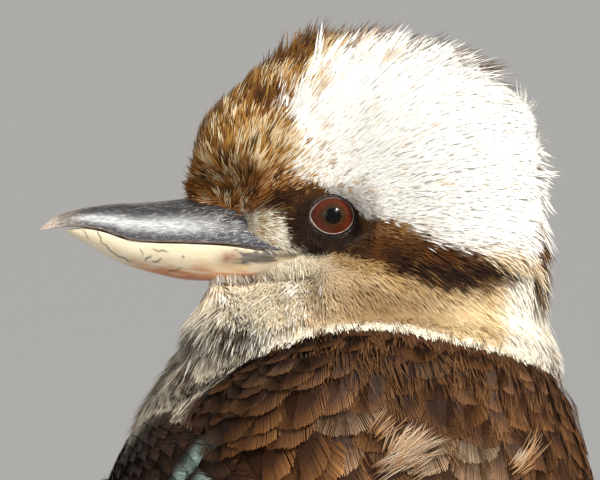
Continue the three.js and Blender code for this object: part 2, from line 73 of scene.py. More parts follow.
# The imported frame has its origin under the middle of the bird. The middle between the eyes gives the shift to it.
shift = (boxMiddle("eye_left") + boxMiddle("eye_right")) / 2 - headSpot(0, 0, 0) * millimetre

# The camera stands so that the left eye is at its pixel of the picture, with the given millimetres to a pixel there.
eyeShape = {"radius": 8.6, "out": 17.6}
cameraValues = {"azimuth": 45, "elevation": 1.0, "lens": 320, "sensor": 36, "pixel": 0.29, "eyeAt": (333, 216),
                "size": (600, 480)}
azimuth, elevation = math.radians(cameraValues["azimuth"]), math.radians(cameraValues["elevation"])
level = math.cos(elevation)
viewBack = np.array([math.sin(azimuth) * level, -math.cos(azimuth) * level, math.sin(elevation)])
viewRight = np.array([math.cos(azimuth), math.sin(azimuth), 0])
viewUp = np.cross(viewBack, viewRight)
middleX, middleY = cameraValues["size"][0] / 2, cameraValues["size"][1] / 2
cameraTarget = headSpot(0, eyeShape["out"] + eyeShape["radius"], 0)
cameraTarget = cameraTarget - viewRight * (cameraValues["eyeAt"][0] - middleX) * cameraValues["pixel"]
cameraTarget = cameraTarget - viewUp * (middleY - cameraValues["eyeAt"][1]) * cameraValues["pixel"]
cameraPlace = cameraTarget + (viewBack * cameraValues["size"][0] * cameraValues["pixel"]
                              * cameraValues["lens"] / cameraValues["sensor"])


# Where the picture shows a point: its sideways and upward distances over its depth, in pixels to the right and down.
def seenAt(points):
    away = points - cameraPlace
    scale = 2 * middleX * cameraValues["lens"] / cameraValues["sensor"] / -(away @ viewBack)
    return middleX + (away @ viewRight) * scale, middleY - (away @ viewUp) * scale


# A column of a table at x: a cubic between its rows, with the slope at a row taken from the rows on both sides.
def smooth(table, column, x):
    table = np.asarray(table, float)
    keys, values = table[:, 0], table[:, column]
    x = np.clip(x, keys[0], keys[-1])
    slope = np.zeros_like(values)
    slope[1:-1] = (values[2:] - values[:-2]) / (keys[2:] - keys[:-2])
    slope[0] = (values[1] - values[0]) / (keys[1] - keys[0])
    slope[-1] = (values[-1] - values[-2]) / (keys[-1] - keys[-2])
    i = np.clip(np.searchsorted(keys, x, side="right") - 1, 0, len(keys) - 2)
    gap = keys[i + 1] - keys[i]
    s = (x - keys[i]) / gap
    start = (2 * s ** 3 - 3 * s ** 2 + 1) * values[i] + (s ** 3 - 2 * s ** 2 + s) * gap * slope[i]
    return start + (3 * s ** 2 - 2 * s ** 3) * values[i + 1] + (s ** 3 - s ** 2) * gap * slope[i + 1]


# A rounded oval: cosine and sine of the angle, each raised to 2 / power with its sign kept.
def oval(angle, power):
    c, s = np.cos(angle), np.sin(angle)
    return np.sign(c) * np.abs(c) ** (2 / power), np.sign(s) * np.abs(s) ** (2 / power)


# 0 below low, 1 above high, and 3 s^2 - 2 s^3 between them.
def step(low, high, x):
    s = np.clip((x - low) / (high - low), 0, 1)
    return s * s * (3 - 2 * s)


def unit(v):
    return v / np.maximum(np.linalg.norm(v, axis=-1, keepdims=True), 1e-9)


hashFactors = {"x": 73856093, "y": 19349663, "z": 83492791, "seed": 2654435761, "mixed": 1274126177}


# Noise from 0 to 1: values hashed on a grid of the given size, blended between the eight corners round a point.
def grain(points, size, seed=0):
    q = np.asarray(points, float) / size
    cell = np.floor(q).astype(np.int64)
    s = q - cell
    s = s * s * (3 - 2 * s)
    total = 0
    for corner in range(8):
        o = np.array([corner & 1, corner >> 1 & 1, corner >> 2])
        c = cell + o
        h = c[..., 0] * hashFactors["x"] ^ c[..., 1] * hashFactors["y"] ^ c[..., 2] * hashFactors["z"]
        h = (h ^ seed * hashFactors["seed"]) & 0xFFFFFFFF
        h = (h ^ h >> 13) * hashFactors["mixed"] & 0xFFFFFFFF
        h = (h ^ h >> 16) & 0xFFFF
        w = np.prod(np.where(o == 1, s, 1 - s), axis=-1)
        total = total + w * h / 65535
    return total


# A screen colour from 0 to 255 as linear light.
def tone(red, green, blue):
    c = np.array([red, green, blue]) / 255
    return np.where(c < 0.04045, c / 12.92, ((c + 0.055) / 1.055) ** 2.4)


def mix(a, b, share):
    share = np.asarray(share)[..., None]
    return a * (1 - share) + b * share


# A soft spot: e to the minus sum of (distance / reach) ^ power, for distances and reaches given in turn.
def dome(*pairs, power=2):
    return np.exp(-sum((away / reach) ** power for away, reach in zip(pairs[::2], pairs[1::2])))


def cosSin(degrees):
    return math.cos(math.radians(degrees)), math.sin(math.radians(degrees))


def newObject(name, data):
    thing = bpy.data.objects.new(name, data)
    bpy.context.scene.collection.objects.link(thing)
    return thing


# A place on the OFBake map: the direction from the bird's middle, flattened to an octahedron and unfolded to a square.
# The lower half folds outwards by the signs of x and y, taken from the face or tuft so that none is torn across a fold.
bakeMiddle = np.array([-5.0, 0, 140])


def bakeSpot(points, keys):
    d, k = points - bakeMiddle, keys - bakeMiddle
    p = d / np.abs(d).sum(-1, keepdims=True)
    folded = (1 - np.abs(p[..., [1, 0]])) * np.where(k[..., :2] < 0, -1, 1)
    flat = np.where(k[..., 2:] < 0, folded, p[..., :2])
    return np.clip(flat * 0.5 + 0.5, 0.001, 0.999)


# Makes an object from points in millimetres and faces given as corner and start lists, all as whole arrays. Its tint
# and lie are values at its points, and bake is its place on the OFBake map at its corners.
def addPiece(name, points, corners, starts, material, tint=None, bake=None, replaces=(), lie=None):
    mesh = bpy.data.meshes.new(name)
    mesh.vertices.add(len(points))
    mesh.vertices.foreach_set("co", (points * millimetre + shift).astype(np.float32).ravel())
    mesh.loops.add(len(corners))
    mesh.loops.foreach_set("vertex_index", corners.astype(np.int32))
    mesh.polygons.add(len(starts))
    mesh.polygons.foreach_set("loop_start", starts.astype(np.int32))
    mesh.update(calc_edges=True)
    mesh.polygons.foreach_set("use_smooth", np.ones(len(starts), bool))
    if tint is not None:
        layer = mesh.color_attributes.new("tint", "FLOAT_COLOR", "POINT")
        rgba = np.ones((len(points), 4), np.float32)
        rgba[:, :tint.shape[1]] = np.clip(tint, 0, 1)  # a fourth column is the share of scuffs
        layer.data.foreach_set("color", rgba.ravel())
    if lie is not None:
        layer = mesh.attributes.new("lie", "FLOAT_VECTOR", "POINT")
        layer.data.foreach_set("vector", lie.astype(np.float32).ravel())
    if bake is not None:
        layer = mesh.uv_layers.new(name="OFBake")
        layer.data.foreach_set("uv", bake.astype(np.float32).ravel())
    mesh.materials.append(material)
    piece = newObject(name, mesh)
    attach(piece, "root")
    if replaces:
        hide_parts(*replaces)
    return piece


# So many angles, evenly round a circle.
def turns(count):
    return np.linspace(0, 2 * math.pi, count, endpoint=False)


# Quads between the neighbours of a grid of points, numbered row by row. Its last row or column joins the first where
# as many quads as points are asked for.
def gridFaces(rows, columns, height, width):
    i, j = np.meshgrid(np.arange(rows), np.arange(columns), indexing="ij")
    i2, j2 = (i + 1) % height, (j + 1) % width
    return np.stack([i * width + j, i * width + j2, i2 * width + j2, i2 * width + j], -1).reshape(-1, 4)


# A closed tube over a grid (rings, around, 3), as points, corners and starts: quads between the rings and a fan from a
# middle point at either end, all turned so that the faces look outwards.
def closedTube(grid):
    rings, around = grid.shape[:2]
    points = np.concatenate([grid.reshape(-1, 3), grid[:1].mean(1), grid[-1:].mean(1)])
    quads = gridFaces(rings - 1, around, rings, around)
    j = np.arange(around)
    k = (j + 1) % around
    first = np.full(around, rings * around)
    last = (rings - 1) * around
    fans = np.concatenate([np.stack([k, j, first], -1), np.stack([last + j, last + k, first + 1], -1)])
    corners = np.concatenate([quads.ravel(), fans.ravel()])
    starts = np.concatenate([np.arange(len(quads)) * 4, len(quads) * 4 + np.arange(len(fans)) * 3])
    a, b, c = points[quads[:, 0]], points[quads[:, 1]], points[quads[:, 2]]
    if np.einsum("ij,ij->i", a - points.mean(0), np.cross(b - a, c - a)).sum() < 0:
        size = np.append(starts[1:], len(corners)) - starts
        place = np.arange(len(corners)) - np.repeat(starts, size)
        corners = corners[np.repeat(starts + size, size) - 1 - place]
    return points, corners, starts


# Several shapes as one: points are stacked, and the corner and start numbers of each move on by those before it.
def joined(shapes):
    points, corners, starts, seen, used = [], [], [], 0, 0
    for p, c, s in shapes:
        points.append(p)
        corners.append(c + seen)
        starts.append(s + used)
        seen += len(p)
        used += len(c)
    return np.concatenate(points), np.concatenate(corners), np.concatenate(starts)


print("helpers ready")

# Forms of the flesh, the same tables and formulas as the solids have.
torsoSlices = [  # share along, belly x, belly z, back x, back z, half width
    [0, -24, 187, 30, 189, 25], [0.07, -47, 180, 51, 182, 43], [0.15, -59, 168, 57, 172, 51],
    [0.27, -76, 147, 59, 158, 57], [0.4, -85, 120, 66, 142, 61], [0.53, -76, 88, 72, 124, 62],
    [0.65, -50, 60, 79, 108, 57], [0.77, -8, 42, 87, 95, 46], [0.88, 42, 46, 94, 85, 33],
    [0.96, 80, 62, 99, 78, 20], [1, 92, 70, 100, 75, 9],
]
neckSlices = [  # height, middle ahead of the eyes, half length, half width
    [150, -12, 46, 42], [162, -12, 52, 47], [172, -12, 53, 47.5], [180, -12, 52.5, 46.5], [186, -13, 49.5, 45],
    [192, -17, 43, 43], [198, -22, 36, 41], [204, -26, 30, 38], [209, -29, 22, 32],
]
headSlices = [  # f, top, height of the widest place, bottom, half width
    [-63, 14, -8, -30, 13], [-60, 26, -6, -42, 25], [-55, 34.5, -5, -48, 32.5], [-46, 41.5, -4, -50, 38.5],
    [-34, 47, -4, -50, 41.5], [-22, 49.5, -4, -48, 39.5], [-10, 51, -2, -45, 34], [0, 50.5, 0, -41, 28.5],
    [10, 47, 4, -37, 25], [20, 41.5, 8, -32, 22], [29, 35, 10, -28, 18.5], [36, 28.5, 11, -25, 15],
    [40, 20, 10, -17, 11], [42, 13, 8, 0, 5],
]
upperBill = [  # f, ridge, cutting edge, half width
    [10, 8.5, -9.8, 19.5], [17, 8.2, -9.9, 18.8], [28, 7, -8.4, 16.4], [43, 4.9, -7.8, 12.8], [52, 3.9, -7.6, 10.4],
    [59.2, 3.5, -7.1, 8.6], [65, 3.2, -4.9, 7], [74.4, 1.8, -3.3, 4.4], [80.6, 0, -3.6, 2.5], [84.3, -2.2, -4.2, 1.3],
    [86.2, -4, -4.6, 0.5],
]
lowerBill = [  # f, cutting edge, keel, half width
    [10, -10.3, -17, 18.6], [20, -10.4, -18.2, 17.4], [31, -9, -19.3, 15], [43, -8.4, -19.2, 12.2],
    [52, -8.2, -17.4, 9.8], [60.8, -7.2, -14.8, 7.6], [67, -5.2, -11.9, 6], [72.3, -4, -8.8, 4.3],
    [76.5, -4.1, -6.4, 2.5], [78.5, -4.3, -5, 0.9],
]


ovalPower = {"torso": 2.15, "head": 2.2, "bill": 1.8}


# Torso: each slice joins a belly point to a back point, and an oval lies on that line and the half width.
def torsoPoint(share, angle):
    along, out = oval(angle, ovalPower["torso"])
    bellyX, bellyZ, backX, backZ, half = (smooth(torsoSlices, c, share) for c in range(1, 6))
    x = (bellyX + backX) / 2 + along * (backX - bellyX) / 2
    z = (bellyZ + backZ) / 2 + along * (backZ - bellyZ) / 2
    return np.stack(np.broadcast_arrays(x, -half * out, z), -1)


# Neck: level ellipses round a middle that lies ahead of or behind the eyes.
def neckPoint(height, angle):
    middle, long, wide = (smooth(neckSlices, c, height) for c in range(1, 4))
    return headSpot(middle + np.cos(angle) * long, np.sin(angle) * wide, height - eyeHeight)


# Head: upright ovals along f, with their own heights above and below the widest place.
def headPoint(f, angle):
    out, up = oval(angle, ovalPower["head"])
    top, widest, bottom, half = (smooth(headSlices, c, f) for c in range(1, 5))
    return headSpot(f, half * out, widest + up * np.where(up > 0, top - widest, widest - bottom))


# A round limb: circles of the given radii across a smooth line through the given points.
def limb(stations, rings, around):
    rows = np.asarray(stations, float)
    length = np.concatenate([[0], np.cumsum(np.linalg.norm(np.diff(rows[:, :3], axis=0), axis=1))])
    table = np.column_stack([length, rows])
    s = np.linspace(0, length[-1], rings)
    line = np.stack([smooth(table, c, s) for c in (1, 2, 3)], -1)
    radius = smooth(table, 4, s)
    along = unit(np.gradient(line, axis=0))
    across = unit(np.cross(along, [0.31, 1, 0.07]))
    over = np.cross(along, across)
    a = turns(around)
    ring = across[:, None] * np.cos(a)[None, :, None] + over[:, None] * np.sin(a)[None, :, None]
    return line[:, None] + ring * radius[:, None, None]


legX, legY = 8, 25
thighStations = [[-6, -3, 62, 14], [-1, -1, 50, 11.5], [6, 0, 41, 7], [9, 0, 33, 3.6]]


# A station of one leg from its own x, its distance outwards and its height; side is -1 on the left and 1 on the right.
def legStations(rows, side):
    return [[legX + x, side * (legY + out), z, radius] for x, out, z, radius in rows]


bowlShape = {"out": 29.6, "depth": 0.92, "reach": 10}  # the hollow behind each eye
skinShape = {
    "voxel": 1.7, "smoothing": 5,
    "headDepth": 3.0, "neckDepth": 3.2, "bodyDepth": 3.6,  # how far the skin lies inside the solids
    "shelf": 3.2, "shelfFade": 30,  # the mantle stands this much proud below the collar
    "chest": 2.8,  # how far the chest stands out below the bill
    "nape": 1.0, "top": 0.2, "brow": -2.0, "forehead": 2.2,  # more depth or less at places of the crown
    "puff": 3.2,  # how far the cheek bulges below the corner of the bill
    "overBill": 1.5, "underBill": 2.2,  # how steeply the skin leaves the bill at its edges
}
around = turns(96)[None]
shapes = [
    closedTube(torsoPoint(np.linspace(0, 1, 120)[:, None], around)),
    closedTube(neckPoint(np.linspace(150, 209, 60)[:, None], around)),
    closedTube(headPoint(np.concatenate([[-63, -62], np.linspace(-61, 41, 80), [41.6, 42]])[:, None], around)),
]
shapes += [closedTube(limb(legStations(thighStations, side), 30, 40)) for side in (-1, 1)]
points, corners, starts = joined(shapes)
rough = bpy.data.meshes.new("rough")
rough.from_pydata((points * millimetre).tolist(), [], [c.tolist() for c in np.split(corners, starts[1:])])
roughObject = newObject("rough", rough)
remesh = roughObject.modifiers.new("one skin", "REMESH")
remesh.mode = "VOXEL"
remesh.voxel_size = skinShape["voxel"] * millimetre
fused = bpy.data.meshes.new_from_object(roughObject.evaluated_get(bpy.context.evaluated_depsgraph_get()))
bpy.data.objects.remove(roughObject)


# A value of all the mesh's points, edges or corners, as one array.
def fetched(items, key, width, kind):
    values = np.empty(len(items) * width, kind)
    items.foreach_get(key, values)
    return values


skinPoints = fetched(fused.vertices, "co", 3, float).reshape(-1, 3) * 1000
edges = fetched(fused.edges, "vertices", 2, np.int32).reshape(-1, 2)
quads = fetched(fused.loops, "vertex_index", 1, np.int32).reshape(-1, 4)
bpy.data.meshes.remove(fused)
near = np.bincount(edges.ravel(), minlength=len(skinPoints))[:, None]


# Each point moves half way to the mean of its neighbours, the given number of times.
def smoothed(values, times):
    for _ in range(times):
        total = np.stack([np.bincount(edges[:, 0], values[edges[:, 1], k], len(values))
                          + np.bincount(edges[:, 1], values[edges[:, 0], k], len(values))
                          for k in range(values.shape[1])], -1)
        values = (values + total / near) / 2
    return values


# Normals at the points: the sum of the cross products of each quad's diagonals.
def normalsOf(points):
    a, b, c, d = (points[quads[:, k]] for k in range(4))
    face = np.cross(c - a, d - b)
    total = np.zeros_like(points)
    for k in range(4):
        for axis in range(3):
            total[:, axis] += np.bincount(quads[:, k], face[:, axis], len(points))
    return unit(total)


# Height of the collar, where the mantle meets the neck, by the angle round the neck: 0 ahead of the head, 90 on its
# left and 180 behind it. The mantle ends at the table's ends, so the height falls away there.
collarHeights = [
    [-40, 90], [-12, 120], [6, 147], [16, 157], [34, 166], [55, 174], [76, 178.6], [95, 178.4], [113, 175.2],
    [145, 168.5], [180, 161.5], [225, 158], [250, 147], [275, 110], [320, 90],
]


def collarAt(points):
    f, l, _ = headCoords(points)
    angle = np.degrees(np.arctan2(l / 47, (f + 13) / 53))
    angle = np.where(angle < -40, angle + 360, angle)
    return smooth(collarHeights, 1, angle)


def aboveCollar(points):
    return points[..., 2] - collarAt(points)


# How much a place belongs to the head and neck: 1 above the collar and 0 below it.
def headShare(points):
    return step(-0.6, 0.6, aboveCollar(points))


# Height of the mantle over the flesh: nothing at the collar, rising to the shelf and fading down the back.
def shelfAt(points):
    below = -aboveCollar(points)
    return skinShape["shelf"] * step(0.5, 9, below) * np.exp(-np.clip(below, 0, None) / skinShape["shelfFade"])


# Distance from the eye's middle, which counts for less along the head.
def fromEye(f, u):
    return np.hypot(f / 1.12, u)


# The feathers' edge on the bill's side, as u by f, and the chin's edge under it.
billEdge = [[4, -10.4], [7.3, -10], [14, -8.9], [21, -8], [23.4, -6.4], [24.6, -2.6], [26, 0.2], [28.5, 1.5],
            [32, 2.6], [36, 3.6], [42.3, 4.7], [46, 5.4]]
chinEdge = [[4, -10.8], [7.3, -10.6], [12.5, -12.8], [17.7, -15.1], [21.7, -16.8], [25.5, -18.4], [32, -19],
            [46, -19]]


# Distance in millimetres into the bare part of the bill's side, less than 0 under the feathers.
def bareBill(f, u):
    over = smooth(billEdge, 1, f) - u
    under = u - smooth(chinEdge, 1, f)
    return np.minimum(np.minimum(over, under), (f - 5) * 0.9)


# Half width of the closed bill at a height, by the oval of its upper or its lower half.
def billOut(f, u):
    def half(table, edge, end):
        cut, power = smooth(table, edge, f), ovalPower["bill"]
        height = np.clip((u - cut) / (smooth(table, end, f) - cut), 0, 1)
        return smooth(table, 3, f) * (1 - height ** power) ** (1 / power)

    return np.where(u > smooth(upperBill, 2, f), half(upperBill, 2, 1), half(lowerBill, 1, 2))


skinNormals = normalsOf(smoothed(skinPoints, 3))
f, l, u = headCoords(skinPoints)
throatShare = step(-10, 8, f) * step(-10, -18, u) * step(-52, -42, u)
skinPoints = smoothed(skinPoints, skinShape["smoothing"])
skinPoints = mix(skinPoints, smoothed(skinPoints, 40), throatShare)
onHead = headShare(skinPoints)
f, l, u = headCoords(skinPoints)
depth = skinShape["neckDepth"] * (1 - step(-34, -24, u)) + skinShape["headDepth"] * step(-34, -24, u)
depth = depth + skinShape["nape"] * step(-34, -52, f) * step(-6, 6, u) * step(34, 22, u)
depth = depth + skinShape["top"] * step(30, 44, u) - skinShape["forehead"] * step(-8, 10, f) * step(26, 38, u)
depth = depth - skinShape["chest"] * step(20, 42, f) * step(-19, -30, u) * step(-112, -80, u)
depth = depth + skinShape["brow"] * step(20, 34, f) * step(-1, 6, u) * step(36, 24, u)
depth = depth * onHead + skinShape["bodyDepth"] * (1 - onHead)
shelf = shelfAt(skinPoints) * step(110, 140, collarAt(skinPoints))
skinPoints = skinPoints - skinNormals * (depth - shelf)[:, None]

# The skin sinks behind each eye to an ellipsoid round it, and to the bill's side where the bill is bare.
f, l, u = headCoords(skinPoints)
side = np.where(l < 0, -1, 1)
tight = 1 + 0.28 * step(-2, 5, u) * step(5, -3, f)
away = ((f / 1.1) ** 2 + u ** 2) * tight ** 2
inBowl = (away < bowlShape["reach"] ** 2) & (np.abs(l) > 12)
bowl = bowlShape["out"] - bowlShape["depth"] * np.sqrt(np.clip(bowlShape["reach"] ** 2 - away, 0, None))
outward = np.where(inBowl, np.minimum(np.abs(l), bowl), np.abs(l))
into = bareBill(f, u)
rise = np.where(u > -9, skinShape["overBill"], skinShape["underBill"])
hug = billOut(f, u) + np.interp(into, [0, 1.2], [0.2, -1.6]) + rise * np.maximum(-into, 0)
outward = np.minimum(outward, outward + (hug - outward) * step(2, 9, f))
puff = dome(f - 10, 7.5, u + 21, 6) * step(0, 3, -into) * step(2, 9, outward)
outward = outward + skinShape["puff"] * puff
skinPoints = skinPoints + leftward * (outward * side - l)[:, None]
skinNormals = normalsOf(skinPoints)
print("skin:", len(quads), "faces")

# Colours of the plumage, as screen colours.
plumage = {
    "crown": tone(254, 253, 249), "cream": tone(242, 228, 192), "gold": tone(190, 142, 72), "brown": tone(114, 68, 26),
    "dark": tone(48, 27, 14), "lore": tone(40, 25, 16), "cheek": tone(214, 186, 142), "buff": tone(212, 174, 116),
    "throat": tone(250, 244, 228), "neck": tone(224, 194, 144), "grey": tone(150, 136, 118),
    "breast": tone(226, 216, 196), "breastStreak": tone(100, 80, 60), "belly": tone(232, 226, 212),
    "mantle": tone(50, 28, 14), "mantleMid": tone(98, 60, 30), "mantleEnd": tone(164, 118, 72),
}
stripeTop = [[-60, -21], [-54, -17], [-41.5, -11.4], [-29, -8], [-19.4, -2.2], [-6.4, 2], [0, 7], [8, 9], [17, 6],
             [24, 2]]
stripeLow = [[-60, -17.5], [-54, -17.6], [-50, -18], [-46, -18.8], [-42, -20.3], [-38, -21.3], [-34, -21.3], [-29, -20],
             [-24, -18.8], [-20, -17.6], [-14, -14.6], [1, -11], [8, -9.5], [17, -6], [24, 0]]
foreheadEdge = [[-4, 4], [6, 4.5], [16, 9.6], [31, 12.5], [42, 6], [52, -3], [60, -8]]


# Colours of a tuft on the head at its root and its tip, from f, l and u and three random numbers for each tuft.
# Every region is a soft band between smooth curves, moved a little by noise, and the last ones lie over the first.
def headTints(points, chance, second, third):
    f, _, u = headCoords(points)
    wander = (grain(points, 9, 3) - 0.5) * 6 + (grain(points, 3.2, 5) - 0.5) * 3.5
    n = grain(points, 5, 8)
    fine = grain(points, 2.2, 9)
    root = np.broadcast_to(plumage["crown"], points.shape).copy()
    tip = root.copy()

    def lay(rootColour, tipColour, share):
        nonlocal root, tip
        root, tip = mix(root, rootColour, share), mix(tip, tipColour, share)

    # cheek, throat and neck
    low = step(-7, -14, u + wander * 0.4)
    cheekTone = mix(plumage["cheek"] * 0.86, plumage["cheek"] * 1.14, np.clip(fine * 0.6 + second * 0.4, 0, 1))
    lay(cheekTone * 0.84, cheekTone, low)
    warm = low * step(-8, -24, f + wander) * step(-17, -28, u + wander) * step(-54, -42, u + wander)
    lay(plumage["neck"] * 0.78, mix(plumage["neck"], plumage["cream"], second), warm)
    tan = dome(f + 17, 18, u + 27, 7, power=4)
    lay(tone(122, 94, 64), mix(tone(138, 110, 75), tone(168, 136, 95), second), tan * 0.85)
    pale = step(-46, -53, f + wander * 0.5) * step(-12, -18, u + wander * 0.5)
    lay(plumage["cream"], plumage["crown"], pale * 0.95)
    flecks = low * (chance < 0.08) * step(-16, -22, u)
    lay(plumage["buff"] * 0.6, plumage["gold"] * 0.75, flecks * 0.6)
    throat = step(9, 17, f + wander * 0.5) * step(-13, -18, u)
    throatTip = mix(plumage["throat"], plumage["neck"], (second > 0.75) * 0.6)
    lay(mix(plumage["cheek"] * 0.8, plumage["cream"], n), mix(throatTip, tone(255, 252, 242), 0.6), throat)
    lay(plumage["throat"], tone(255, 248, 228), dome(f - 11, 10, u + 16, 5) * 0.9)
    whitish = dome(f - 14, 11, u + 24, 10)
    lay(plumage["throat"] * 0.95, tone(255, 243, 216), whitish * 0.9)
    # painted shadow: the chin's strands just under the bill are darkened where the bill's shadow falls
    billShadow = step(-22.5, -19.5, u) * step(18, 23, f)
    lay(tone(130, 102, 66), mix(tone(176, 140, 92), plumage["throat"], second ** 2), billShadow * 0.7)
    chest = step(-36, -42, u + wander * 0.6) * step(-16, 4, f)
    mottle = step(0.42, 0.62, grain(points, 5, 62)) * step(-110, -70, u)
    lay(plumage["grey"] * 0.4, mix(plumage["breast"] * 1.12, plumage["belly"], step(-60, -100, u)), chest * 0.95)
    dark = third < (0.16 + 0.42 * mottle) * (1 - 0.5 * step(-50, -58, u))
    streakTone = mix(plumage["breastStreak"] * 0.5, plumage["breastStreak"], second)
    lay(plumage["breastStreak"] * 0.3, streakTone, chest * dark)
    # painted shade: a darker band under the hanging throat plumes
    band = dome(u + 37.5, 3) * step(14, 22, f) * (third < 0.75)
    lay(plumage["breastStreak"] * 0.4, plumage["breastStreak"] * 0.75, band)

    # forehead streaks, golden to dark brown, thinning out towards the white crown
    inside = f - smooth(foreheadEdge, 1, u) + wander
    density = step(-6, 8, inside) * step(-4, 3, u + f * 0.12)
    density = step(-0.12, 0.12, density - 0.12 - 0.76 * np.mod(second * 7.3 + chance * 3.1, 1))
    shade = grain(points, 11, 14)
    heavy = 0.36 + 0.25 * step(26, 38, u) + 0.4 * step(2, 18, inside) + 0.8 * (shade - 0.5)
    browner = np.clip(third + 1.3 * (shade - 0.5) + 0.4 * step(14, 4, u), 0, 1)
    brownish = mix(mix(plumage["gold"], plumage["brown"], browner), plumage["dark"], (third > 0.8) * 0.7)
    lay(brownish * 0.7, brownish, density * (chance < heavy))
    between = mix(plumage["cream"], plumage["gold"], np.clip(second * 0.6 + (n - 0.5) * 0.9, 0, 1))
    lay(between * 0.75, between, density * (chance >= heavy))
    lay(plumage["cream"], mix(plumage["gold"], plumage["brown"], second),
        step(-16, -6, inside) * (1 - density) * (chance < 0.2) * step(2, 8, u) * 0.75)
    lay(tone(150, 92, 38), mix(tone(196, 128, 56), plumage["brown"], second),
        density * step(18, 7, u) * (third < 0.65) * 0.85)
    lay(tone(150, 116, 76), mix(plumage["buff"], plumage["brown"], second > 0.7),
        dome(np.hypot(f, u) - 11, 3) * step(-1, 4, u) * step(6, -2, f) * (chance < 0.25) * 0.7)
    front = step(22, 34, f + wander * 0.4) * step(10, 18, u) + step(34, 42, u + wander * 0.5) * step(4, 12, f)
    front = np.clip(front, 0, 1) * (chance < 0.24) * 0.8
    lay(plumage["brown"] * 0.5, mix(plumage["dark"], plumage["brown"], second), front)

    # faint flecks in the white crown, and a brown patch at the back of the neck
    lay(plumage["crown"] * 0.95, plumage["buff"] * 0.9, (chance > 0.985) * step(-2, 8, u) * (1 - density) * 0.7)
    nape = step(-58, -62, f + wander * 0.4) * step(-22, -18, u + wander * 0.5) * step(2, -4, u + wander * 0.5)
    lay(plumage["buff"] * 0.8, mix(plumage["brown"] * 0.7, plumage["dark"], second), nape * (chance < 0.7))

    # the eye stripe, over the lores, under the eye and back over the ear
    top, bottom = smooth(stripeTop, 1, f), smooth(stripeLow, 1, f)
    soft = 1.0 + 1.8 * step(-5, -40, f)
    inStripe = step(-soft, soft * 0.4, top - u + wander * 0.3) * step(-soft, soft * 0.4, u - bottom + wander * 0.3)
    inStripe = inStripe * step(-59, -52, f + wander * 0.7) * step(26, 21, f)
    line = np.interp(f, [-60, -40, -30, -20, -10], [-17.5, -16, -15.6, -13, -8])
    core = 1.2 * dome(u - line + 0.6, 4.4) * step(-11, -19, f)
    core = core + step(-15, -4, f) * step(-4, -9, u + f * 0.3) + 0.7 * step(2, 8, f)
    stripeTone = mix(plumage["brown"] * 0.75, plumage["dark"] * 0.8, np.clip(core + (fine - 0.5) * 0.8, 0, 1))
    stripeTone = mix(stripeTone, plumage["gold"] * 0.6, (second > 0.9) * 0.5)
    lay(stripeTone * 0.8, stripeTone, inStripe)
    tanTop = dome(f + 20, 7, u + 3.4, 2.6)
    lay(plumage["brown"], mix(plumage["gold"] * 0.8, plumage["cheek"], second), tanTop * (chance < 0.7) * 0.8)
    bandUnder = step(3.2, 1, np.abs(u - bottom + 1.8)) * step(6, -2, f) * step(-30, -12, f)
    lay(plumage["gold"] * 0.5, plumage["buff"] * 0.8, bandUnder * (chance < 0.7))
    reach = 8.8 + 3.4 * step(-2, 6, f) * step(8, 2, u) + 1.2 * step(0, -5, u) - 1.6 * step(0, 5, u)
    ring = step(reach + 0.8, reach - 1.2, np.hypot(f * 0.95, (u + 1.0) * 1.05))
    lay(plumage["lore"], plumage["lore"] * 1.1, ring)
    patch = step(6.0, 4.0, np.abs(f - 19.5 - (u + 4) * 0.5)) * step(6.5, 3.5, np.abs(u + 4.4)) * step(12, 15, f)
    patchTone = mix(tone(255, 252, 240), plumage["gold"] * 0.7, (second > 0.68) * 0.8)
    lay(plumage["cream"] * 0.6, patchTone, patch * (chance < 0.96))

    # a pale edge where the neck's feathers end on the mantle
    fringe = step(0.7, 0.0, aboveCollar(points)) * step(24, 14, f)
    lay(plumage["cream"], tone(252, 247, 232), fringe * 0.9)
    return root, tip


# Colours of a tuft on the body: streaked grey and cream in front, pale below, brown on the back.
def bodyTints(points, chance, second):
    n = grain(points, 6, 12)
    front = step(2, -28, points[..., 0] + (n - 0.5) * 14)
    root = np.broadcast_to(plumage["belly"] * 0.6, points.shape).copy()
    tip = np.broadcast_to(plumage["belly"], points.shape).copy()
    streaked = front * step(92, 118, points[..., 2])
    streakTone = mix(plumage["breastStreak"], plumage["mantle"], second * 0.5)
    darkened = chance < 0.12 + 0.7 * step(0.42, 0.6, grain(points, 7, 61))
    tip = mix(tip, mix(plumage["breast"], streakTone, darkened), streaked)
    tip = mix(tip, plumage["breastStreak"] * 1.3, (chance < 0.13) * (1 - streaked))
    root = mix(root, plumage["breastStreak"] * 0.7, streaked)
    brownBack = mantleShare(points + np.array([9, 0, 0]))
    root = mix(root, plumage["mantle"] * 0.7, brownBack)
    tip = mix(tip, plumage["mantleMid"], brownBack)
    return root, tip


# The mantle's edge on the breast, as x by z.
mantleFront = [[60, 10], [100, 2], [120, -4], [141, -8], [148, -12], [153, -14], [157, -13], [163.6, -3], [169, 6],
               [178, 10]]


# How much a place of the body belongs to the brown back: behind the mantle's edge and above the flank.
def mantleShare(points):
    x, z = points[..., 0], points[..., 2]
    behind = step(-4, 4, x - smooth(mantleFront, 1, z))
    return behind * step(-3, 3, z - (112 - 0.42 * (x - 20)))


# Colour of the skin under the coat: between the tufts' colours at their roots and their tips.
def skinTint(points):
    half = np.full(len(points), 0.5)
    headRoot, headTip = headTints(points, grain(points, 1.5, 31), half, grain(points, 1.7, 32))
    bodyRoot, bodyTip = bodyTints(points, grain(points, 2.2, 33), half)
    return mix(mix(bodyRoot, bodyTip, half * 0.7), mix(headRoot, headTip, half * 0.9), headShare(points))


# Gives a node's sockets their values: constants, or outputs of other nodes that feed them.
def feed(tree, node, sockets):
    for key, value in sockets.items():
        if isinstance(value, bpy.types.NodeSocket):
            tree.links.new(value, node.inputs[key])
        else:
            node.inputs[key].default_value = value


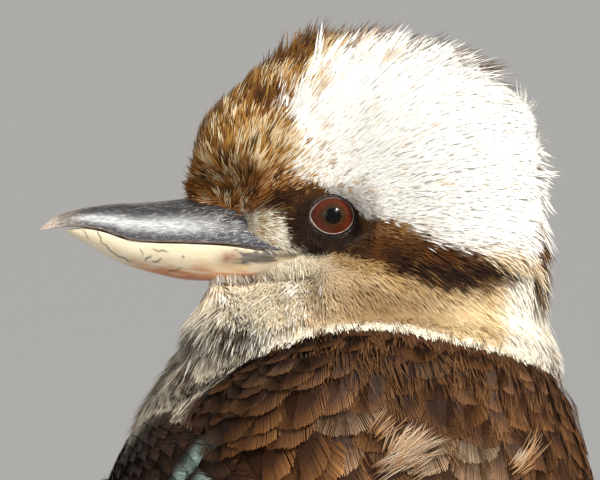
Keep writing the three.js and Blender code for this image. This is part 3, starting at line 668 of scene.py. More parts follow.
# Adds a node with these sockets and settings, and returns its outputs.
def addNode(tree, kind, sockets, **settings):
    node = tree.nodes.new("ShaderNode" + kind)
    for key, value in settings.items():
        setattr(node, key, value)
    feed(tree, node, sockets)
    return node.outputs


# A ramp between two stops, each a position and a colour.
def addRamp(tree, amount, stops):
    outputs = addNode(tree, "ValToRGB", {"Fac": amount})
    for element, (position, colour) in zip(tree.nodes[-1].color_ramp.elements, stops):
        element.position, element.color = position, (*colour, 1)
    return outputs["Color"]


def addBump(tree, height, strength):
    return addNode(tree, "Bump", {"Height": height, "Strength": strength, "Distance": 0.0004})["Normal"]


def newMaterial(name):
    material = bpy.data.materials.new(name)
    material.use_nodes = True
    return material, material.node_tree, material.node_tree.nodes["Principled BSDF"]


# A colour made lighter and darker by up to the given share, as noise goes from low to high.
def addShade(tree, colour, noise, amount, low=0.0, high=1.0):
    spread = addNode(tree, "MapRange", {
        "Value": noise, "From Min": low, "From Max": high, "To Min": 1 - amount, "To Max": 1 + amount})
    return addNode(tree, "VectorMath", {0: colour, "Scale": spread["Result"]}, operation="SCALE")["Vector"]


# A material for plumage: the tint attribute made lighter and darker by fine noise, and a bump of the same noise.
def plumageMaterial(name, values):
    material, tree, shader = newMaterial(name)
    tint = addNode(tree, "Attribute", {}, attribute_name="tint")
    place = addNode(tree, "TexCoord", {})
    speckle = addNode(tree, "TexNoise", {
        "Vector": place["Object"], "Scale": values["speckleScale"], "Detail": 3})["Fac"]
    feed(tree, shader, {
        "Base Color": addShade(tree, tint["Color"], speckle, values["speckle"]),
        "Normal": addBump(tree, speckle, values["bump"]), "Roughness": values["roughness"],
        "Specular IOR Level": values["specular"], "Sheen Weight": values["sheen"], "Sheen Roughness": 0.4})
    return material


coatMaterial = plumageMaterial("soft_plumage", {
    "roughness": 0.72, "specular": 0.2, "sheen": 0.06, "speckle": 0.12, "speckleScale": 900, "bump": 0.2})
vaneMaterial = plumageMaterial("feather_vanes", {
    "roughness": 0.55, "specular": 0.16, "sheen": 0.03, "speckle": 0.16, "speckleScale": 700, "bump": 0.3})

corners = quads.ravel()
faceMiddle = skinPoints[quads].mean(1)
skinBake = bakeSpot(skinPoints[corners], np.repeat(faceMiddle, 4, 0))
addPiece("skin", skinPoints, corners, np.arange(len(quads)) * 4, coatMaterial,
         tint=skinTint(skinPoints), bake=skinBake,
         replaces=("head", "neck", "torso", "thigh_left", "thigh_right"))
print("skin done")

# Triangles of the skin, for sowing roots over it.
skinTriangles = np.concatenate([quads[:, [0, 1, 2]], quads[:, [0, 2, 3]]])
middle = skinPoints[skinTriangles].mean(1)
skinTriangles = skinTriangles[np.argsort(grain(middle, 14, 77) + middle[:, 2] * 0.02)]
triangleCorners = skinPoints[skinTriangles]
triangleArea = np.linalg.norm(np.cross(triangleCorners[:, 1] - triangleCorners[:, 0],
                                       triangleCorners[:, 2] - triangleCorners[:, 0]), axis=1) / 2
triangleMiddle = triangleCorners.mean(1)


# Roots over the skin: one from each equal slice of area times density, at a random place inside its triangle. It gives
# the seeded generator, the roots, their normals and the given number of random numbers for each root.
def sow(density, seed, draws=3):
    rng = np.random.default_rng(seed)
    weight = np.cumsum(triangleArea * density)
    count = int(weight[-1])
    at = (np.arange(count) + rng.random(count)) / count * weight[-1]
    which = np.minimum(np.searchsorted(weight, at), len(weight) - 1)
    a, b = rng.random(count), rng.random(count)
    flip = a + b > 1
    a, b = np.where(flip, 1 - a, a), np.where(flip, 1 - b, b)
    share = np.stack([1 - a - b, a, b], -1)[..., None]
    roots = (triangleCorners[which] * share).sum(1)
    normals = unit((skinNormals[skinTriangles[which]] * share).sum(1))
    return rng, roots, normals, rng.random((draws, count))


# The skin's points averaged in the cells of a grid, so that any place near the skin finds its mean point and normal.
cellSize = 3.0
gridLow = skinPoints.min(0) - 6
gridCells = ((skinPoints.max(0) + 6 - gridLow) / cellSize).astype(int) + 1


def cellOf(points):
    i = np.clip(((points - gridLow) / cellSize).astype(int), 0, gridCells - 1)
    return (i[..., 0] * gridCells[1] + i[..., 1]) * gridCells[2] + i[..., 2]


cells = cellOf(skinPoints)
held = np.bincount(cells, minlength=gridCells.prod())
cellPoint, cellNormal = (np.stack([np.bincount(cells, v[:, k], gridCells.prod()) for k in range(3)], -1)
                         / np.maximum(held, 1)[:, None] for v in (skinPoints, skinNormals))
cellNormal = unit(cellNormal)


# How far and which way a place must move to stand clear of the skin: along the cell's normal, if it is too low.
def outOfSkin(points, clearance):
    at = cellOf(points)
    above = ((points - cellPoint[at]) * cellNormal[at]).sum(-1)
    return cellNormal[at] * (np.clip(clearance - above, 0, 4) * (held[at] > 0))[..., None]


# Lie of the coat on the head: away from the bill's root, turning down over the neck and hanging at the throat.
def headFlow(points):
    f, l, u = headCoords(points)
    away = points - headSpot(27, 0, -1) - leftward * (l * 0.35)[:, None]
    fall = step(2, -40, u) * 0.9 + step(-36, -62, f) * step(20, -20, u) * 0.55
    flow = unit(away) - upward * fall[:, None]
    forwards = 0.66 * step(-29, -35, u) - 0.26
    hanging = unit(ahead * forwards[:, None] - upward + leftward * (l * 0.01)[:, None])
    return unit(mix(unit(flow), hanging, step(6, 22, f) * step(-12, -20, u)))


# Lie of the coat on the body: away from the neck and towards the tail, each by the inverse square of its distance.
def bodyFlow(points):
    fromNeck = points - np.array([0, 0, 205])
    toTail = np.array([104, 0, 70]) - points
    return unit(sum(way / (np.linalg.norm(way, axis=1, keepdims=True) ** 2) for way in (fromNeck, toTail)))


# Tufts: each is a few flat strands from nearly one root. A strand runs along the lie, turned by its share of the fan,
# by length x cos(lift) x s, and rises by length x sin(lift) x s x (1 - bend x s) along its own share s. It has seven
# points and three faces.
strandAt = np.array([0, 0, 0.38, 0.38, 0.74, 0.74, 1.0])
strandSide = np.array([-1, 1, -1, 1, -1, 1, 0.0])
strandWide = np.array([0.8, 0.8, 1, 1, 0.62, 0.62, 0])
strandCorners = np.array([0, 1, 3, 2, 2, 3, 5, 4, 4, 5, 6])
strandStarts = np.array([0, 4, 8])
strandClear = ((2, 4, 0.3), (4, 6, 0.5), (6, 7, 0.6))  # first and last point, and how far they stay above the skin
strandTriangles, pieceTriangles = 5, 190000  # a piece of the coat has no more triangles than this


def growTufts(name, roots, normals, flow, values, tints, rng):
    count, strands = len(roots), values["strands"]
    size = (count, strands)
    tuftLength, tuftWidth, tuftLift = (
        np.broadcast_to(values[key], count)[:, None] for key in ("length", "width", "lift"))
    flow = unit(flow - normals * (flow * normals).sum(-1, keepdims=True))
    across = np.cross(normals, flow)
    share = (np.arange(strands) + 0.5) / strands * 2 - 1
    turn = np.radians(values["fan"]) * (share + rng.normal(0, 0.35, size))
    turn = (turn + np.radians(values["stray"]) * rng.normal(0, 1, (count, 1)))[..., None]
    flow, across, normals = flow[:, None], across[:, None], normals[:, None]
    along = flow * np.cos(turn) + across * np.sin(turn)
    sideways = across * np.cos(turn) - flow * np.sin(turn)
    base = roots[:, None] + across * (share * values["gap"] + rng.normal(0, values["gap"] * 0.25, size))[..., None]
    base = base + flow * rng.normal(0, values["gap"] * 0.8, (*size, 1)) - normals * values["sink"]
    length = (tuftLength * rng.uniform(0.72, 1.12, size))[..., None]
    lift = np.radians(np.minimum(tuftLift * rng.uniform(0.7, 1.3, size), 80))[..., None]
    rise = length * np.sin(lift) * strandAt * (1 - values["bend"] * strandAt)
    roll = np.radians(values["roll"]) * rng.normal(0, 1, (*size, 1))
    wide = tuftWidth[..., None] * strandWide * strandSide / 2
    points = base[:, :, None] + along[:, :, None] * (length * np.cos(lift) * strandAt)[..., None]
    points = points + normals[:, :, None] * (rise + wide * np.sin(roll))[..., None]
    points = points + sideways[:, :, None] * (wide * np.cos(roll))[..., None]
    for first, last, clear in strandClear:
        points[:, :, first:] += outOfSkin(points[:, :, first:last].mean(2), clear)[:, :, None]
    jitter = rng.normal(1, values["vary"], (*size, 1, 1))
    rootTint, tipTint = (np.asarray(tint)[:, None, None] for tint in tints)
    tint = mix(rootTint, tipTint, np.broadcast_to(strandAt ** values["fade"], points.shape[:3])) * jitter
    patch = np.broadcast_arrays(share[None, :, None] * 0.0012 + strandSide * 0.0002, (strandAt - 0.5) * 0.003)
    bake = np.clip(bakeSpot(roots, roots)[:, None, None] + np.stack(patch, -1), 0, 1).reshape(-1, 2)
    points, tint = points.reshape(-1, 3), tint.reshape(-1, 3)
    total = count * strands
    parts = int(np.ceil(total * strandTriangles / pieceTriangles))
    pointsEach, cornersEach = len(strandAt), len(strandCorners)
    for part, rows in enumerate(np.array_split(np.arange(total), parts)):
        first, last = rows[0] * pointsEach, (rows[-1] + 1) * pointsEach
        corners = (strandCorners[None] + np.arange(len(rows))[:, None] * pointsEach).ravel()
        starts = (strandStarts[None] + np.arange(len(rows))[:, None] * cornersEach).ravel()
        addPiece(f"{name}_{part + 1}", points[first:last], corners, starts, coatMaterial,
                 tint=tint[first:last], bake=bake[first:last][corners])
    print(name, "-", total, "strands in", parts, "pieces")


# Lift in degrees that lets a strand on skin with these normals hang along a direction, within the given limits.
def hanging(normals, direction, least, most):
    out = (normals * direction).sum(-1)
    return np.clip(np.degrees(np.arctan2(out, np.sqrt(np.clip(1 - out * out, 0.01, 1)))), least, most)


# The wing: s runs back from the bend along its slope, t across it, and h out from a surface that bows with t and curls
# on to the shoulder above its height there, each by a square.
wing = {"bendX": -71, "bendZ": 126, "slope": 18, "bow": 185, "shoulder": 22, "curl": 110}
wingOut = [[0, 41], [15, 53.5], [35, 62.5], [60, 67], [90, 66.5], [120, 58], [150, 46], [180, 35], [215, 25]]
wingTop = [[-7, 4], [-2, 11], [3, 18], [8, 24.5], [13, 29], [18, 32], [23, 35], [28, 36.5], [34, 38], [41, 36],
           [50, 30], [62, 23]]
wingCos, wingSin = cosSin(wing["slope"])


# How much a place of the body lies under the wing, whose outline is grown by some millimetres.
def underWing(points, grown, front=0):
    x, z = points[:, 0] - wing["bendX"], points[:, 2] - wing["bendZ"]
    s, t = x * wingCos - z * wingSin, x * wingSin + z * wingCos
    top = np.interp(s + grown, *np.array(wingTop).T)
    share = step(26, 34, np.abs(points[:, 1])) * step(front - 8 - grown, front - 3 - grown, s)
    return share * step(top + grown, top + grown - 4, t) * step(-28 - grown, -23 - grown, t)


headCoat = {"density": 0.5, "strands": 7, "length": 9.5, "width": 0.62, "lift": 17}
f, l, u = headCoords(triangleMiddle)
covered = step(-0.4, 0.2, -bareBill(f, u)) * (1 - step(8.0, 7.4, fromEye(f, u)) * (np.abs(l) > 10))
density = headCoat["density"] * headShare(triangleMiddle) * covered * (1 - underWing(triangleMiddle, -3, 14))
density = density * (1 + 0.4 * step(-6, -14, u) + 0.1 * step(0, 12, u))
density = density * (1 + 1.3 * step(24, 10, np.hypot(f - 8, u)) + 0.5 * step(8, 0, aboveCollar(triangleMiddle)))
rng, roots, normals, draws = sow(density, 11)
f, l, u = headCoords(roots)
toBill = np.maximum(-bareBill(f, u), 0)
face = np.minimum(step(7, 24, fromEye(f, u)), np.maximum(step(0, 13, toBill), 0.35))
face = np.maximum(face, 0.55 * step(1, -5, f) * step(-2, 3, u) + step(8, 14, f) * step(-14, -17, u))
crown = step(20, 42, u)
length = headCoat["length"] * (0.28 + 0.72 * face)
length = length * (1 + 0.25 * crown) * (1 + 0.3 * step(4, 20, f) * step(-14, -20, u))
length = length * (1 - 0.65 * underWing(roots, 16))
length = np.minimum(length, 1.6 + 0.95 * np.maximum(aboveCollar(roots), 0))
cheek = step(-6, -14, u) * step(-66, -56, f)
length = length * (1 - 0.22 * cheek * step(24, 14, f)) * (1 - 0.2 * step(-26, -40, f) * step(-6, 4, u))
lift = headCoat["lift"] * (0.45 + 0.55 * face) + 6 * crown + 9 * step(-44, -58, f) * step(-14, -4, u)
lift = lift * step(-1, 12, aboveCollar(roots)) + 8
flow = headFlow(roots)
lift = np.maximum(lift, hanging(normals, flow, 0, 24) * (step(6, 14, f) * step(-14, -19, u)))
growTufts("head_coat", roots, normals, flow, {
    "strands": headCoat["strands"], "length": length,
    "width": headCoat["width"] * (0.55 + 0.45 * face) * (1 - 0.25 * cheek),
    "lift": lift * (1 - 0.7 * underWing(roots, 16)),
    "bend": 0.35, "fan": 4, "stray": 8, "gap": 0.8, "sink": 0.6, "roll": 9, "vary": 0.05, "fade": 1.1,
}, headTints(roots + flow * (0.55 * length)[:, None], *draws), rng)

# Fringe of the collar: short pale strands from just above its line, hanging down over the mantle.
above, collar = aboveCollar(triangleMiddle), collarAt(triangleMiddle)
line = step(-0.6, 0.0, above) * step(1.5, 1.0, above) * step(140, 150, collar)
line = line * step(26, 14, headCoords(triangleMiddle)[0])
rng, roots, normals, (chance,) = sow(2.8 * line, 13, 1)
growTufts("collar_fringe", roots, normals, mix(-upward, headFlow(roots), 0.25), {
    "strands": 6, "length": rng.uniform(1.7, 2.9, len(roots)), "width": 0.32, "lift": rng.uniform(20, 44, len(roots)),
    "bend": 0.8, "fan": 9, "stray": 12, "gap": 0.5, "sink": 0.2, "roll": 16, "vary": 0.05, "fade": 0.8,
}, (mix(plumage["cream"], plumage["crown"], chance), mix(tone(255, 252, 242), plumage["cream"], chance ** 3)),
    rng)

# Crest: pointed tufts that stand up along the crown and out behind the head, many of them dark at the tip.
f, l, u = headCoords(triangleMiddle)
topLine = step(37, 45, u) * step(34, 26, f)
behind = step(-52, -59, f) * step(-30, -24, u)
rng, roots, normals, draws = sow(0.24 * topLine + 0.15 * behind, 14)
f, l, u = headCoords(roots)
front = step(8, 20, f)
length = rng.uniform(10, 16.5, len(roots)) * (1 - 0.15 * front)
flow = headFlow(roots)
rootTint, tipTint = headTints(roots + flow * (0.4 * length)[:, None], *draws)
darkShare = np.where(u > 20, 0.85 * step(-50, -38, f) * step(14, 6, np.abs(l)), 0.16)
darkTip = (rng.random(len(roots)) < darkShare) * (1 - front)
darkTone = mix(plumage["dark"] * 0.8, plumage["brown"] * 0.8, draws[1])
growTufts("crest", roots, normals, flow, {
    "strands": 10, "length": length, "width": 0.8, "lift": rng.uniform(26, 52, len(roots)) * np.where(f < -40, 0.45, 1),
    "bend": 0.2, "fan": -6, "stray": 12, "gap": 1.3, "sink": 0.8, "roll": 20, "vary": 0.06, "fade": 1.0,
}, (mix(rootTint, plumage["brown"], darkTip * 0.35), mix(tipTint, darkTone, darkTip * (0.75 + 0.25 * draws[2]))),
    rng)

# Bristles: short strands from the feathers' edge along the bill, away over the forehead, the lores and the chin.
f, l, u = headCoords(triangleMiddle)
border = -bareBill(f, u)
line = step(-0.3, 0.2, border) * step(5.0, 1.5, border) * step(2, 6, f)
rng, roots, normals, draws = sow(2.4 * line * (1 - 0.75 * step(-12, -16, u)), 15)
length = rng.uniform(3.2, 6.2, len(roots))
flow = headFlow(roots)
rootTint, tipTint = headTints(roots + flow * (0.6 * length)[:, None], *draws)
under = step(-14, -17, headCoords(roots)[2])
chinTone = mix(tone(150, 110, 62), plumage["gold"], draws[2])
growTufts("bill_bristles", roots, normals, flow, {
    "strands": 5, "length": length * (1 + under * (draws[1] * 1.6 - 0.6)), "width": 0.3,
    "lift": rng.uniform(8, 24, len(roots)) * (1 - under) + hanging(normals, flow, 8, 24) * under,
    "bend": 0.5, "fan": 7, "stray": 14, "gap": 0.6, "sink": 0.3, "roll": 16, "vary": 0.08, "fade": 0.9,
}, (rootTint, mix(tipTint, chinTone, under * 0.75)), rng)

# Ring: short strands round the lids, away from the eye, which close the gap to the coat behind it.
f, l, u = headCoords(triangleMiddle)
toEye = fromEye(f, u)
rng, roots, normals, draws = sow(2.0 * step(6.3, 6.7, toEye) * step(11, 9.5, toEye) * (np.abs(l) > 10), 17)
f, l, u = headCoords(roots)
length = rng.uniform(2.2, 3.8, len(roots))
flow = unit(unit(ahead * f[:, None] + upward * u[:, None]) * 0.8 + headFlow(roots))
growTufts("eye_ring", roots, normals, flow, {
    "strands": 5, "length": length, "width": 0.32, "lift": rng.uniform(10, 30, len(roots)),
    "bend": 0.6, "fan": 6, "stray": 10, "gap": 0.5, "sink": 0.1, "roll": 14, "vary": 0.07, "fade": 0.9,
}, headTints(roots + flow * (0.6 * length)[:, None], *draws), rng)

# Throat plumes: long loose white strands that hang from the chin, drawn together to points.
f, l, u = headCoords(triangleMiddle)
chin = step(3, 10, f) * step(-15, -17.5, u) * step(-40, -33, u)
rng, roots, normals, draws = sow(0.2 * chin * headShare(triangleMiddle), 16)
f, l, u = headCoords(roots)
flow = unit(ahead * (0.6 * step(-29, -35, u) - 0.2)[:, None] - upward + leftward * (l * 0.015)[:, None])
length = rng.uniform(7, 16, len(roots)) * (1 - 0.6 * step(0.35, 0.8, -(normals @ upward)))
growTufts("throat_plumes", roots, normals, flow, {
    "strands": 9, "length": np.minimum(length, 2.5 + 0.7 * np.clip(aboveCollar(roots), 0, None)), "width": 0.36,
    "lift": hanging(normals, flow, 18, 50) * rng.uniform(0.7, 1.2, len(roots)),
    "bend": 0.3, "fan": -3, "stray": 9, "gap": 1.3, "sink": 0.4, "roll": 18, "vary": 0.08, "fade": 0.9,
}, (mix(plumage["buff"] * 0.55, tone(255, 250, 238), draws[0] ** 0.5),
    mix(tone(255, 255, 252), plumage["cream"], draws[1] ** 4)), rng)

bodyCoat = {"density": 0.19, "strands": 7, "length": 14, "width": 0.85, "lift": 15}
density = bodyCoat["density"] * (1 - headShare(triangleMiddle)) * (1 - mantleShare(triangleMiddle))
rng, roots, normals, draws = sow(density * (1 - underWing(triangleMiddle, -4, 15)), 12)
leg = step(66, 40, roots[:, 2]) * step(30, 8, np.abs(roots[:, 0] - legX))
nearWing = underWing(roots, 16)
length = bodyCoat["length"] * (1 - 0.45 * leg) * (1 - 0.65 * nearWing)
growTufts("body_coat", roots, normals, bodyFlow(roots), {
    "strands": bodyCoat["strands"], "length": length * (1 - 0.4 * mantleShare(roots + np.array([14, 0, 0]))),
    "width": bodyCoat["width"], "lift": bodyCoat["lift"] * (1 - 0.8 * nearWing),
    "bend": 0.45, "fan": 9, "stray": 8, "gap": 1.1, "sink": 0.8, "roll": 22, "vary": 0.1, "fade": 1.1,
}, bodyTints(roots, *draws[:2]), rng)

# Feathers: barbs to both sides of a shaft. The barb at share a leaves the shaft there and ends on a rounded outline at
# an angle that closes from 100 degrees to 0 at the tip, so the last barbs run straight on. Between, it goes out as
# q ^ 0.7 and on as q ^ 1.8, so it bends forwards. Each barb is a flat strip with three cross lines, and some stand a
# little apart from their neighbours. A long feather has its own strip of the OFBake map, and a short one a small patch.
def growFeathers(name, length, halfWidth, place, paint, values, seed, replaces=(), strips=False):
    rng = np.random.default_rng(seed)
    count, barbs = len(length), values["barbs"]
    a = np.linspace(0, 1, barbs)[None, :, None, None, None]
    side = np.array([-1, 1])[None, None, :, None, None]
    q = np.array([0, 0.52, 1])[None, None, None, :, None]
    edge = np.array([-1, 1])[None, None, None, None, :]
    size = (count, barbs, 2, 1, 1)
    half, long = halfWidth[:, None, None, None, None], length[:, None, None, None, None]
    close = np.radians(100 * (1 - a ** values["blunt"]))
    shaftAt = (values["from"] + (values["to"] - values["from"]) * a) * long
    clumps = rng.random((count, 1 + barbs // 4, 2))
    blend = np.linspace(0, clumps.shape[1] - 1.001, barbs)
    before, partway = blend.astype(int), (blend % 1)[None, :, None]
    clump = (clumps[:, before] * (1 - partway) + clumps[:, before + 1] * partway)[..., None, None]
    worn = 1 - values["fray"] * (0.55 * clump + 0.45 * rng.random(size))
    endAlong = long * (values["waist"] + (1 - values["waist"]) * np.cos(close) * worn)
    endAcross = half * np.sin(close) ** 0.8 * worn
    across = side * endAcross * q ** 0.7 * (1 + values["jitter"] * (rng.random(size) - 0.5))
    spacing = long * (1.25 - values["waist"]) / barbs
    strip = spacing * np.interp(q, [0, 0.52, 1], [0.6, 0.56, values["tipWidth"]])
    strip = strip * np.cos(close * 0.6 * q) * edge
    thin = spacing * np.interp(q, [0, 0.52, 1], [0, 0.3, values["tipWidth"]]) * np.sin(a * 1.4) * edge * side
    along = shaftAt + (endAlong - shaftAt) * q ** 1.8 + strip
    across = across - thin * 0.5
    lean = values["tilt"] * edge * (1 - 0.5 * q) - values["droop"] * (across / half) ** 2 * half
    lean = lean + values["fluff"] * q ** 2 * (rng.random(size) - 0.3)
    full = np.broadcast_shapes(along.shape, across.shape, lean.shape)
    along, across, lean = (np.broadcast_to(v, full) for v in (along, across, lean))
    points = place(along, across, lean)
    tint = paint(along / long, across / half, np.broadcast_to(rng.random(size), full))
    order = np.array([[1, 0, 2, 3, 3, 2, 4, 5], [0, 1, 3, 2, 2, 3, 5, 4]])[None, None]
    corners = (order + (np.arange(count * barbs * 2) * 6).reshape(count, barbs, 2, 1)).ravel()
    points, tint = points.reshape(-1, 3), tint.reshape(-1, 3)

    # shaft: a low ridge of three lines that narrows to the tip
    t = np.linspace(0, 1, 9)[None, :, None]
    line = np.array([-1, 0, 1])[None, None, :]
    thick = values["shaft"] * (1 - 0.85 * t) * np.ones((count, 1, 1))
    ridge = values["tilt"] + 0.05 + thick * (1 - line ** 2) * 0.7
    shaft = np.broadcast_arrays(t * (length * values["to"])[:, None, None], line * thick, ridge)
    shaftPoints = place(*(v[..., None, None] for v in shaft)).reshape(-1, 3)
    faces = np.roll(gridFaces(8, 2, 9, 3), -1, 1)
    shaftCorners = (faces.ravel()[None] + np.arange(count)[:, None] * 27).ravel() + len(points)

    if strips:
        bakes = []
        for u, v in ((across / half, along / long),
                     (shaft[1] / halfWidth[:, None, None], shaft[0] / length[:, None, None])):
            column = (each(np.arange(count), u) + 0.5 + u * 0.42) / count
            bakes.append(np.stack([column, 0.02 + 0.96 * np.clip(v, 0, 1)], -1).reshape(-1, 2))
    else:
        root = points.reshape(count, -1, 3).mean(1)
        spot = bakeSpot(root, root)[:, None, None, None, None]
        patch = np.stack([across / half, along / long * 2 - 1], -1) * 0.0015
        bakes = [(spot + patch).reshape(-1, 2), np.repeat(spot.reshape(count, 2), 27, 0)]
    corners = np.concatenate([corners, shaftCorners])
    tint = np.concatenate([tint, np.broadcast_to(values["shaftTint"], shaftPoints.shape)])
    addPiece(name, np.concatenate([points, shaftPoints]), corners, np.arange(len(corners) // 4) * 4, vaneMaterial,
             tint=tint, bake=np.concatenate(bakes)[corners], replaces=replaces)
    print(name, "-", count, "feathers,", len(corners) // 2, "triangles")


# One value for each feather, shaped to go with an array of all the feathers' points.
def each(values, like):
    return np.reshape(values, (-1,) + (1,) * (like.ndim - 1))


# The torso's surface for feathers: from share and angle, moved outwards by h along the normal of two small steps.
def torsoSurface(share, angle, h):
    p = torsoPoint(share, angle)
    du = torsoPoint(share + 0.004, angle) - p
    dv = torsoPoint(share, angle + 0.01) - p
    return p + unit(np.cross(dv, du)) * h[..., None]


mantle = {"row": 7.8, "spacing": 11.4, "length": 20, "half": 10, "barbs": 56, "rows": 22}
# Pale places of the mantle, and places of painted warm highlight: x, y, width and height in the picture's pixels.
mantlePale = [[348, 388, 20, 15], [405, 400, 20, 14], [440, 402, 18, 16], [470, 412, 20, 18]]
mantleHighlights = [[300, 382, 36, 22], [524, 366, 46, 30]]
rng = np.random.default_rng(21)
shares, angles, rowsOf = [], [], []
trial = np.linspace(0.03, 0.5, 120)
for row in range(mantle["rows"]):
    angle = np.radians(np.arange(-106, 107, 2.0))
    start = torsoPoint(trial[:, None], angle[None])
    first = np.argmax(start[..., 2] < collarAt(start) + 1.0, axis=0)
    down = 3.2 * min(row, 5) + mantle["row"] * max(row - 5, 0) * (1 + 0.008 * row)
    share = trial[first] + down / 138
    line = torsoPoint(np.clip(share, 0, 0.995), angle)
    walked = np.concatenate([[0], np.cumsum(np.linalg.norm(np.diff(line, axis=0), axis=1))])
    spacing = mantle["spacing"] * (0.6 + 0.08 * min(row, 5))
    at = np.arange(spacing * (0.25 + 0.5 * (row % 2)), walked[-1], spacing)
    at = at + rng.normal(0, 1.3, len(at))
    shares.append(np.interp(at, walked, share) + rng.normal(0, 0.005 + 0.002 * min(row, 3), len(at)))
    angles.append(np.interp(at, walked, angle))
    rowsOf.append(np.full(len(at), row))
shares, angles, rowsOf = np.concatenate(shares), np.concatenate(angles), np.concatenate(rowsOf)
roots = torsoPoint(np.clip(shares, 0, 1), angles)
inset = (6 - 21 * step(0, 6, rowsOf))[:, None] * np.array([1, 0, 0])
keep = (shares < 0.985) & (mantleShare(roots + inset - np.array([0, 0, 4])) > 0.5)
shares, angles, roots, rowsOf = shares[keep], angles[keep], roots[keep], rowsOf[keep]
lengthStep = np.linalg.norm(torsoPoint(shares + 0.01, angles) - roots, axis=1) / 0.01
sideStep = np.linalg.norm(torsoPoint(shares, angles + 0.01) - roots, axis=1) / 0.01
count = len(shares)
growth = 0.5 + 0.5 * step(-1, 5, rowsOf) + 0.3 * step(5, 12, rowsOf)
turn = np.radians(rng.normal(0, 8, count))
liftEnd = rng.uniform(0.1, 0.8, count) * growth
liftEnd = liftEnd + 5.5 * step(50, 78, np.degrees(np.abs(angles))) * step(0.75, 0.5, shares)
ruffled = rng.random(count)
below = -aboveCollar(roots)
# Brightness of each mantle feather: painted shade just under the collar, below the overhanging neck feathers, and
# painted shade along its front edge by the wing, with random tone from noise.
mantleLightAndTone = 0.7 + 0.6 * step(8, 38, below) + 0.3 * (grain(roots, 14, 51) - 0.5)
mantleLightAndTone = mantleLightAndTone * (0.5 + 0.5 * step(0, 26, roots[:, 0] - smooth(mantleFront, 1, roots[:, 2])))
x, y = seenAt(roots)
highlightNear, nearPale = (sum(dome(x - px, wide, y - py, high) for px, py, wide, high in spots)
                    for spots in (mantleHighlights, mantlePale))
# painted warm highlights near the highlight places, and a little darker further down the back
mantleLightAndTone = mantleLightAndTone * (1 + 0.5 * highlightNear) * (1 - 0.22 * step(40, 60, below))
paleness = np.clip(nearPale * (roots @ viewBack > 0) * (0.5 + rng.random(count)), 0, 1)
paleness = paleness + 0.2 * (rng.random(count) > 0.95)


# Where a mantle feather's place lies: on the torso, turned about its root and raised towards its tip.
def mantlePlace(u, v, h):
    c, s = each(np.cos(turn), u), each(np.sin(turn), u)
    share = each(shares, u) + (u * c - v * s) / each(lengthStep, u)
    angle = each(angles, u) + (u * s + v * c) / each(sideStep, u)
    onTorso = np.clip(share, 0, 1)
    height = -4.0 + shelfAt(torsoPoint(onTorso, angle)) + u / mantle["length"] * (1.6 + each(liftEnd, u)) + h
    past = np.clip(share - 1, 0, None) * each(lengthStep, u)
    return torsoSurface(onTorso, angle, height) + np.array([0.95, 0, -0.3]) * past[..., None]


# Colours by the share along a feather, the share across it and a random number for each barb, as in all the paints:
# dark at its middle, lighter towards its rounded end, and pale at the ends of a few, all times the feather's painted
# light and shade.
def mantlePaint(a, across, chance):
    warm = each(ruffled, a)
    base = mix(plumage["mantle"] * 0.7, plumage["mantle"] * 1.1, chance)
    middle = mix(plumage["mantleMid"] * 0.7, plumage["mantleMid"] * 1.2, warm)
    end = mix(middle * 1.2, plumage["mantleEnd"], 0.3 + 0.35 * chance)
    outer = np.hypot(np.abs(across) * 0.8, a * 0.9)
    colour = mix(mix(base, middle, step(0.58, 0.84, outer)), end, step(0.8, 0.98, outer) * (0.4 + 0.6 * warm))
    colour = mix(colour, plumage["mantleEnd"] * 1.35, step(0.93, 1.0, outer) * (warm > 0.4) * 0.7)
    paleEnd = each(paleness, a) * step(0.5, 0.9, outer) * (0.5 + 0.5 * chance)
    return mix(colour * each(mantleLightAndTone, a)[..., None], tone(206, 184, 156), np.clip(paleEnd, 0, 1) * 0.85)


growFeathers("mantle_feathers", mantle["length"] * growth * rng.uniform(0.9, 1.08, count),
             mantle["half"] * growth * rng.uniform(0.9, 1.12, count), mantlePlace, mantlePaint, {
                 "barbs": mantle["barbs"], "from": 0.0, "to": 0.74, "waist": 0.5, "blunt": 0.9, "jitter": 0.07,
                 "fray": 0.13, "tipWidth": 0.6, "tilt": 0.05, "droop": 0.08, "fluff": 0.12, "shaft": 0.1,
                 "shaftTint": plumage["mantleMid"] * 0.8}, 22)

# Loose barbs over the mantle, as small tufts that stand on the feathers' ends.
back = mantleShare(triangleMiddle) * (1 - headShare(triangleMiddle)) * step(58, 66, triangleMiddle[:, 2])
rng, roots, normals, (chance,) = sow((0.03 + 0.08 * step(24, 6, -aboveCollar(triangleMiddle))) * back, 23, 1)
growTufts("mantle_down", roots + normals * 1.6, normals, bodyFlow(roots), {
    "strands": 6, "length": np.where(-aboveCollar(roots) < 6, 3.0, 5.4) * rng.uniform(0.8, 1.2, len(roots)),
    "width": 0.2, "lift": 5.0,
    "bend": 0.5, "fan": 9, "stray": 9, "gap": 1.5, "sink": 0.2, "roll": 12, "vary": 0.12, "fade": 0.8,
}, (np.broadcast_to(plumage["mantle"], roots.shape),
    mix(plumage["mantleMid"] * 0.8, plumage["mantleEnd"] * 0.75, chance)), rng)

